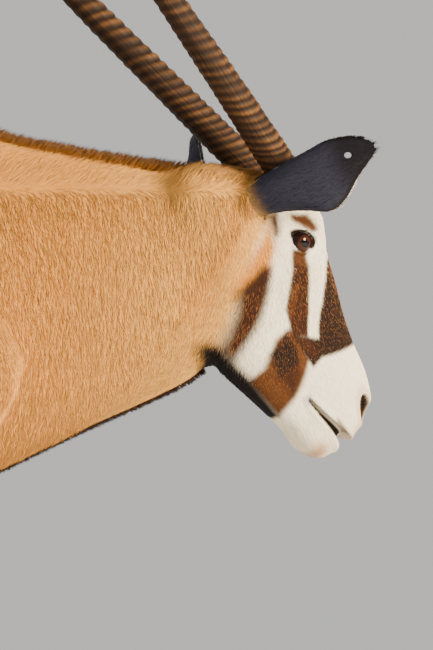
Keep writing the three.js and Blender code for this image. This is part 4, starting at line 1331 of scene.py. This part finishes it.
# Tufts of each region in millimetres, with their lift from the skin in degrees
coat = {
    "trunk": {"spacing": 7.4, "length": 25, "width": 4.4, "thick": 1.5, "lift": 7, "depth": 0.6},
    "neck": {"spacing": 3.7, "length": 16, "width": 1.9, "thick": 1.2, "lift": 10, "depth": 0.5},
    "face": {"spacing": 2.5, "length": 6.4, "width": 1.15, "thick": 0.6, "lift": 9, "depth": 0.3},
    "legs": {"spacing": 4.7, "length": 12, "width": 2.1, "thick": 0.9, "lift": 7, "depth": 0.4},
    "ears": {"spacing": 3.0, "length": 8, "width": 1.2, "thick": 0.6, "lift": 8, "depth": 0.2},
}


# Gold tips over the dark marks of the face, partly gold hairs and partly painted glints of light, and dark
# ones over the gold marks
def speckled(colour, face, rng):
    light = colour.mean(1)
    throat = (face[:, 0] < 70) | (face[:, 2] + 75 < -3.6 * np.abs(face[:, 1]))
    chance = rng.random(len(face))
    goldenTipsAndGlints = (light < 0.06) & (chance < 0.40) & ~throat & (face[:, 0] > 60)
    sooty = (light > 0.03) & (light < 0.25) & (chance > 0.60) & (face[:, 0] > 40)
    tip = np.where(goldenTipsAndGlints[:, None], colours["gold"] * 1.5, colour)
    return np.where(sooty[:, None], colours["brown"], tip)


def coatOver(name, region, slot, mask, seed):
    rng = np.random.default_rng(seed)
    kind = coat[region]
    p, out, part = spread(mask, kind["spacing"], rng)
    keep = ~bare(p, part)
    p, out, part = p[keep], out[keep], part[keep]
    lie = hairLie(p, out, part)
    size = np.ones((len(p), 3))
    face = toHead(p)
    tip = None
    if region == "face":
        near = np.clip(1.05 - 0.62 * ramp(face[:, 0], 60, 300), 0.4, 1)
        away, u, v = eyeParts(face)
        near *= 0.5 + 0.5 * ramp(np.hypot(u / 17, v / 12), 1.2, 2.6)
        size *= near[:, None]
        size[:, 0] *= 1 + 0.7 * ramp(-face[:, 2], 150, 190) * (1 - ramp(face[:, 0], 180, 240))
        tip = speckled(coatColours(p, out, part), face, rng)
    if region == "trunk":
        size[:, 0] *= 1 - 0.25 * ramp(p[:, 0], -300, 0)
    if region == "neck":
        # Along the top the hair darkens towards its tips, up to the mane.
        top = at(trunk, "top", p[:, 0]) - p[:, 2]
        dark = (1 - ramp(top, 4, 16)) * ramp(p[:, 0], -260, -120)
        tip = mix(coatColours(p, out, part), colours["brown"], (0.8 * dark)[:, None])
        size[:, 0] *= 1 + 0.3 * dark
    roots = rootsFor(p, out, part, lie, size, kind["lift"], kind["depth"], rng, tip=tip)
    return coatPiece(name, slot, roots, "short", kind["length"], kind["width"], kind["thick"], 0.3, seed,
                     "coat")


middle, where = surface["middle"], surface["part"]
onTrunk = where == parts.index("trunk")
# The long hair of the trunk and the finer hair of the neck mix where they meet.
ahead = middle[:, 0] + np.random.default_rng(20).normal(0, 55, len(middle)) > -60
regions = (
    ("coat_trunk_right", "trunk", "body_coat", onTrunk & ~ahead & (middle[:, 1] < 0)),
    ("coat_trunk_left", "trunk", "body_coat", onTrunk & ~ahead & (middle[:, 1] >= 0)),
    ("coat_neck", "neck", "body_coat", onTrunk & ahead),
    ("coat_face", "face", "face_coat", where == parts.index("head")),
    ("coat_ears", "ears", "body_coat", np.isin(where, [parts.index(n) for n in ears])),
    ("coat_legs", "legs", "leg_coat", np.isin(where, [parts.index(n) for n in (*legs, "tail")])),
)
for seed, (name, region, slot, mask) in enumerate(regions, 21):
    coatOver(name, region, slot, mask, seed)


# The mane, the throat's fringe and the tail's tuft are longer locks.
def fringe(name, slot, p, way, out, colour, tip, length, width, thick, seed, tuft="bent", finishName="mane",
           nodes=(), part="trunk"):
    rng = np.random.default_rng(seed)
    count = len(p)
    shade = rng.uniform(0.75, 1.25, (count, 1))
    one = np.ones((count, 1))
    roots = {"at": inFrame(p), "lie": unit(way), "out": out,
             "size": np.c_[rng.uniform(0.7, 1.15, count), rng.uniform(0.7, 1.2, (count, 1)), one],
             "rootPlace": np.c_[unwrapped(p, out, np.full(count, parts.index(part))), 0 * one],
             "rootColour": np.c_[np.clip(colour * shade, 0, 1), one],
             "tipColour": np.c_[np.clip(tip * shade, 0, 1), one]}
    return coatPiece(name, slot, roots, tuft, length, width, thick, 0.15, seed, finishName, *nodes)


mane = {"from": -235, "to": 300, "count": 6500, "length": 20, "width": 1.15, "lean": 0.9}
throatFringe = {"from": -60, "to": 275, "count": 3400, "length": 9, "width": 1.0}
tailTuft = {"count": 900, "length": 235, "width": 5.0}


def maneLocks():
    rng = np.random.default_rng(31)
    x = rng.uniform(mane["from"], mane["to"], mane["count"])
    off = rng.normal(0, 6.0, len(x))
    drift = at(trunk, "drift", x)
    height = at(trunk, "top", x) - 7 - off ** 2 / 60
    p = np.stack([x, drift + off, height], -1)
    forward = mane["lean"] + rng.normal(0, 0.14, len(x))
    way = np.stack([forward, off / 24 + rng.normal(0, 0.1, len(x)), 1 + 0 * x], -1)
    out = unit(np.stack([-1 + 0 * x, 0 * x, mane["lean"] + 0 * x], -1))
    ends = np.minimum(ramp(x, mane["from"], mane["from"] + 60),
                      1 - 0.5 * ramp(x, mane["to"] - 30, mane["to"]))
    colour, tip = colours["fawn"], colours["dark"] * 2
    made = np.arange(len(x))[rng.random(len(x)) < 0.25 + 0.75 * ends]
    fringe("mane", "body_coat", p[made], way[made], out[made], colour, tip,
           mane["length"], mane["width"], 1.2, 32)


def throatLocks():
    rng = np.random.default_rng(33)
    x = rng.uniform(throatFringe["from"], throatFringe["to"], throatFringe["count"])
    off = rng.normal(0, 4.5, len(x))
    p = np.stack([x, at(trunk, "drift", x) + off, at(trunk, "bottom", x) + 7 + off ** 2 / 70], -1)
    way = np.stack([1.1 + rng.normal(0, 0.25, len(x)), off / 26, -1 + 0 * x], -1)
    out = unit(np.stack([1 + 0 * x, 0 * x, 1.1 + 0 * x], -1))
    fringe("throat_fringe", "body_coat", p, way, out, colours["brown"], colours["dark"],
           throatFringe["length"], throatFringe["width"], 1.0, 34)


def tailLocks():
    rng = np.random.default_rng(35)
    share = tail["tuftStart"] + (1 - tail["tuftStart"]) * rng.random(tailTuft["count"]) ** 0.9
    centre = curve(tail["path"], share)
    angle = rng.uniform(0, 2 * np.pi, len(share))
    radial = np.stack([np.cos(angle), np.sin(angle), 0 * angle], -1)
    p = centre + radial * rng.uniform(1, 9, (len(share), 1))
    way = radial * rng.uniform(0.02, 0.20, (len(share), 1)) + np.array((0.015, 0.0, -1.0))
    fringe("tail_tuft_locks", "tuft_hair", p, way, radial, colours["dark"], colours["black"],
           tailTuft["length"], tailTuft["width"], 2.6, 36, tuft="long", nodes=("tail_tuft",), part="tail")


def earFringe():
    rng = np.random.default_rng(37)
    for name, ear in ears.items():
        root, along, inward, across = earAxes(ear)
        s = np.concatenate([rng.uniform(20, 182, 900), rng.uniform(30, 120, 420)])
        edge = np.concatenate([np.ones(900), -np.ones(420)])
        wide = np.where(edge < 0, at(earTable, "lower", s), at(earTable, "upper", s))
        p = root + along * (s + 4)[:, None] + across * (edge * wide * 0.985)[:, None]
        p += inward * rng.normal(0, 0.8, (len(s), 1))
        way = along + across * (edge * rng.uniform(0.15, 0.7, len(s)))[:, None]
        way = way + inward * rng.normal(0, 0.2, (len(s), 1))
        out = np.tile(inward, (len(s), 1))
        colour = mix(colours["grey"], colours["black"], ((edge > 0) * 1.0)[:, None])
        fringe(name + "_fringe", "body_coat", p, way, out, colour, colour, 5.0, 0.8, 0.5, 38, part=name)


def lashes():
    rng = np.random.default_rng(39)
    tilt = math.radians(eye["tilt"])
    turn = np.linspace(0.35, 2.75, 46)
    for name, side in (("lashes_right", -1), ("lashes_left", 1)):
        u, v = eye["openLong"] * 1.02 * np.cos(turn), eye["openHigh"] * 1.04 * np.sin(turn)
        x, z = u * math.cos(tilt) - v * math.sin(tilt), u * math.sin(tilt) + v * math.cos(tilt)
        y = np.sqrt(np.maximum(eye["dome"] ** 2 - x * x - z * z, 9.0))
        p = fromHead(np.stack([eye["x"] + x, side * (eye["y"] + y), eye["z"] + z], -1))
        way = np.stack([0.35 * x / 17 + 0.1, side * (1.0 + 0 * x), 0.25 + 0.3 * z / 12], -1) + rng.normal(
            0, 0.08, (len(x), 3))
        out = np.tile(np.array((0.0, 0.0, 1.0)) @ headTurn.T, (len(x), 1))
        fringe(name, "face_coat", p, way @ headTurn.T, out, colours["black"], colours["black"],
               9, 0.7, 0.5, 40, part="head")


maneLocks()
throatLocks()
tailLocks()
earFringe()
lashes()
remove(*[tufts[key] for key in ("short", "bent", "long")])


# Camera, floor and light
photo = {"wide": 433, "high": 650, "scale": 1.36, "groundRow": 1336 / 1.36, "distance": 12.0, "rise": 0.6}


# Each light: name, place, size, power and colour
studio = {
    "lights": (("sun side", (4.4, -2.0, 2.1), 1.2, 720, (1.0, 0.86, 0.68)),
               ("fill", (-3.5, -3.5, 3.2), 3.5, 90, (0.92, 0.95, 1.0)),
               ("behind", (0.5, 4.0, 3.4), 3.0, 150, (1.0, 0.97, 0.93))),
    "backdrop": (0.90, 0.89, 0.86, 1), "strength": 0.7, "floorRadius": 8.5,
}


def cameraAndLight():
    middle = np.array([photo["wide"] / 2 * photo["scale"], head["place"][1],
                       (photo["groundRow"] - photo["high"] / 2) * photo["scale"]])
    aim = Vector(inFrame(middle))
    data = bpy.data.cameras.new("camera")
    camera = bpy.data.objects.new("camera", data)
    bpy.context.scene.collection.objects.link(camera)
    rise = math.radians(photo["rise"])
    camera.location = aim + Vector((0, -math.cos(rise), math.sin(rise))) * photo["distance"]
    camera.rotation_euler = (aim - camera.location).to_track_quat("-Z", "Y").to_euler()
    high = photo["high"] * photo["scale"] * mm
    data.sensor_width = 36
    data.lens = data.sensor_width / 2 / (high / 2 / photo["distance"])
    data.clip_end = 100
    bpy.context.scene.camera = camera

    for name, place, size, power, colour in studio["lights"]:
        light = bpy.data.lights.new(name, "AREA")
        light.size, light.energy, light.color = size, power, colour
        lamp = bpy.data.objects.new(name, light)
        lamp.location = place
        lamp.rotation_euler = (aim - lamp.location).to_track_quat("-Z", "Y").to_euler()
        bpy.context.scene.collection.objects.link(lamp)

    world = bpy.data.worlds.new("studio")
    world.use_nodes = True
    backdrop = world.node_tree.nodes["Background"]
    backdrop.inputs["Color"].default_value = studio["backdrop"]
    backdrop.inputs["Strength"].default_value = studio["strength"]
    bpy.context.scene.world = world

    angle = np.linspace(0, 2 * np.pi, 96, endpoint=False)
    reach = studio["floorRadius"]
    edge = np.c_[reach * np.cos(angle), reach * np.sin(angle), 0 * angle]
    floor = meshObject("floor", edge, [list(range(len(edge)))])


cameraAndLight()
print("camera, floor and light")
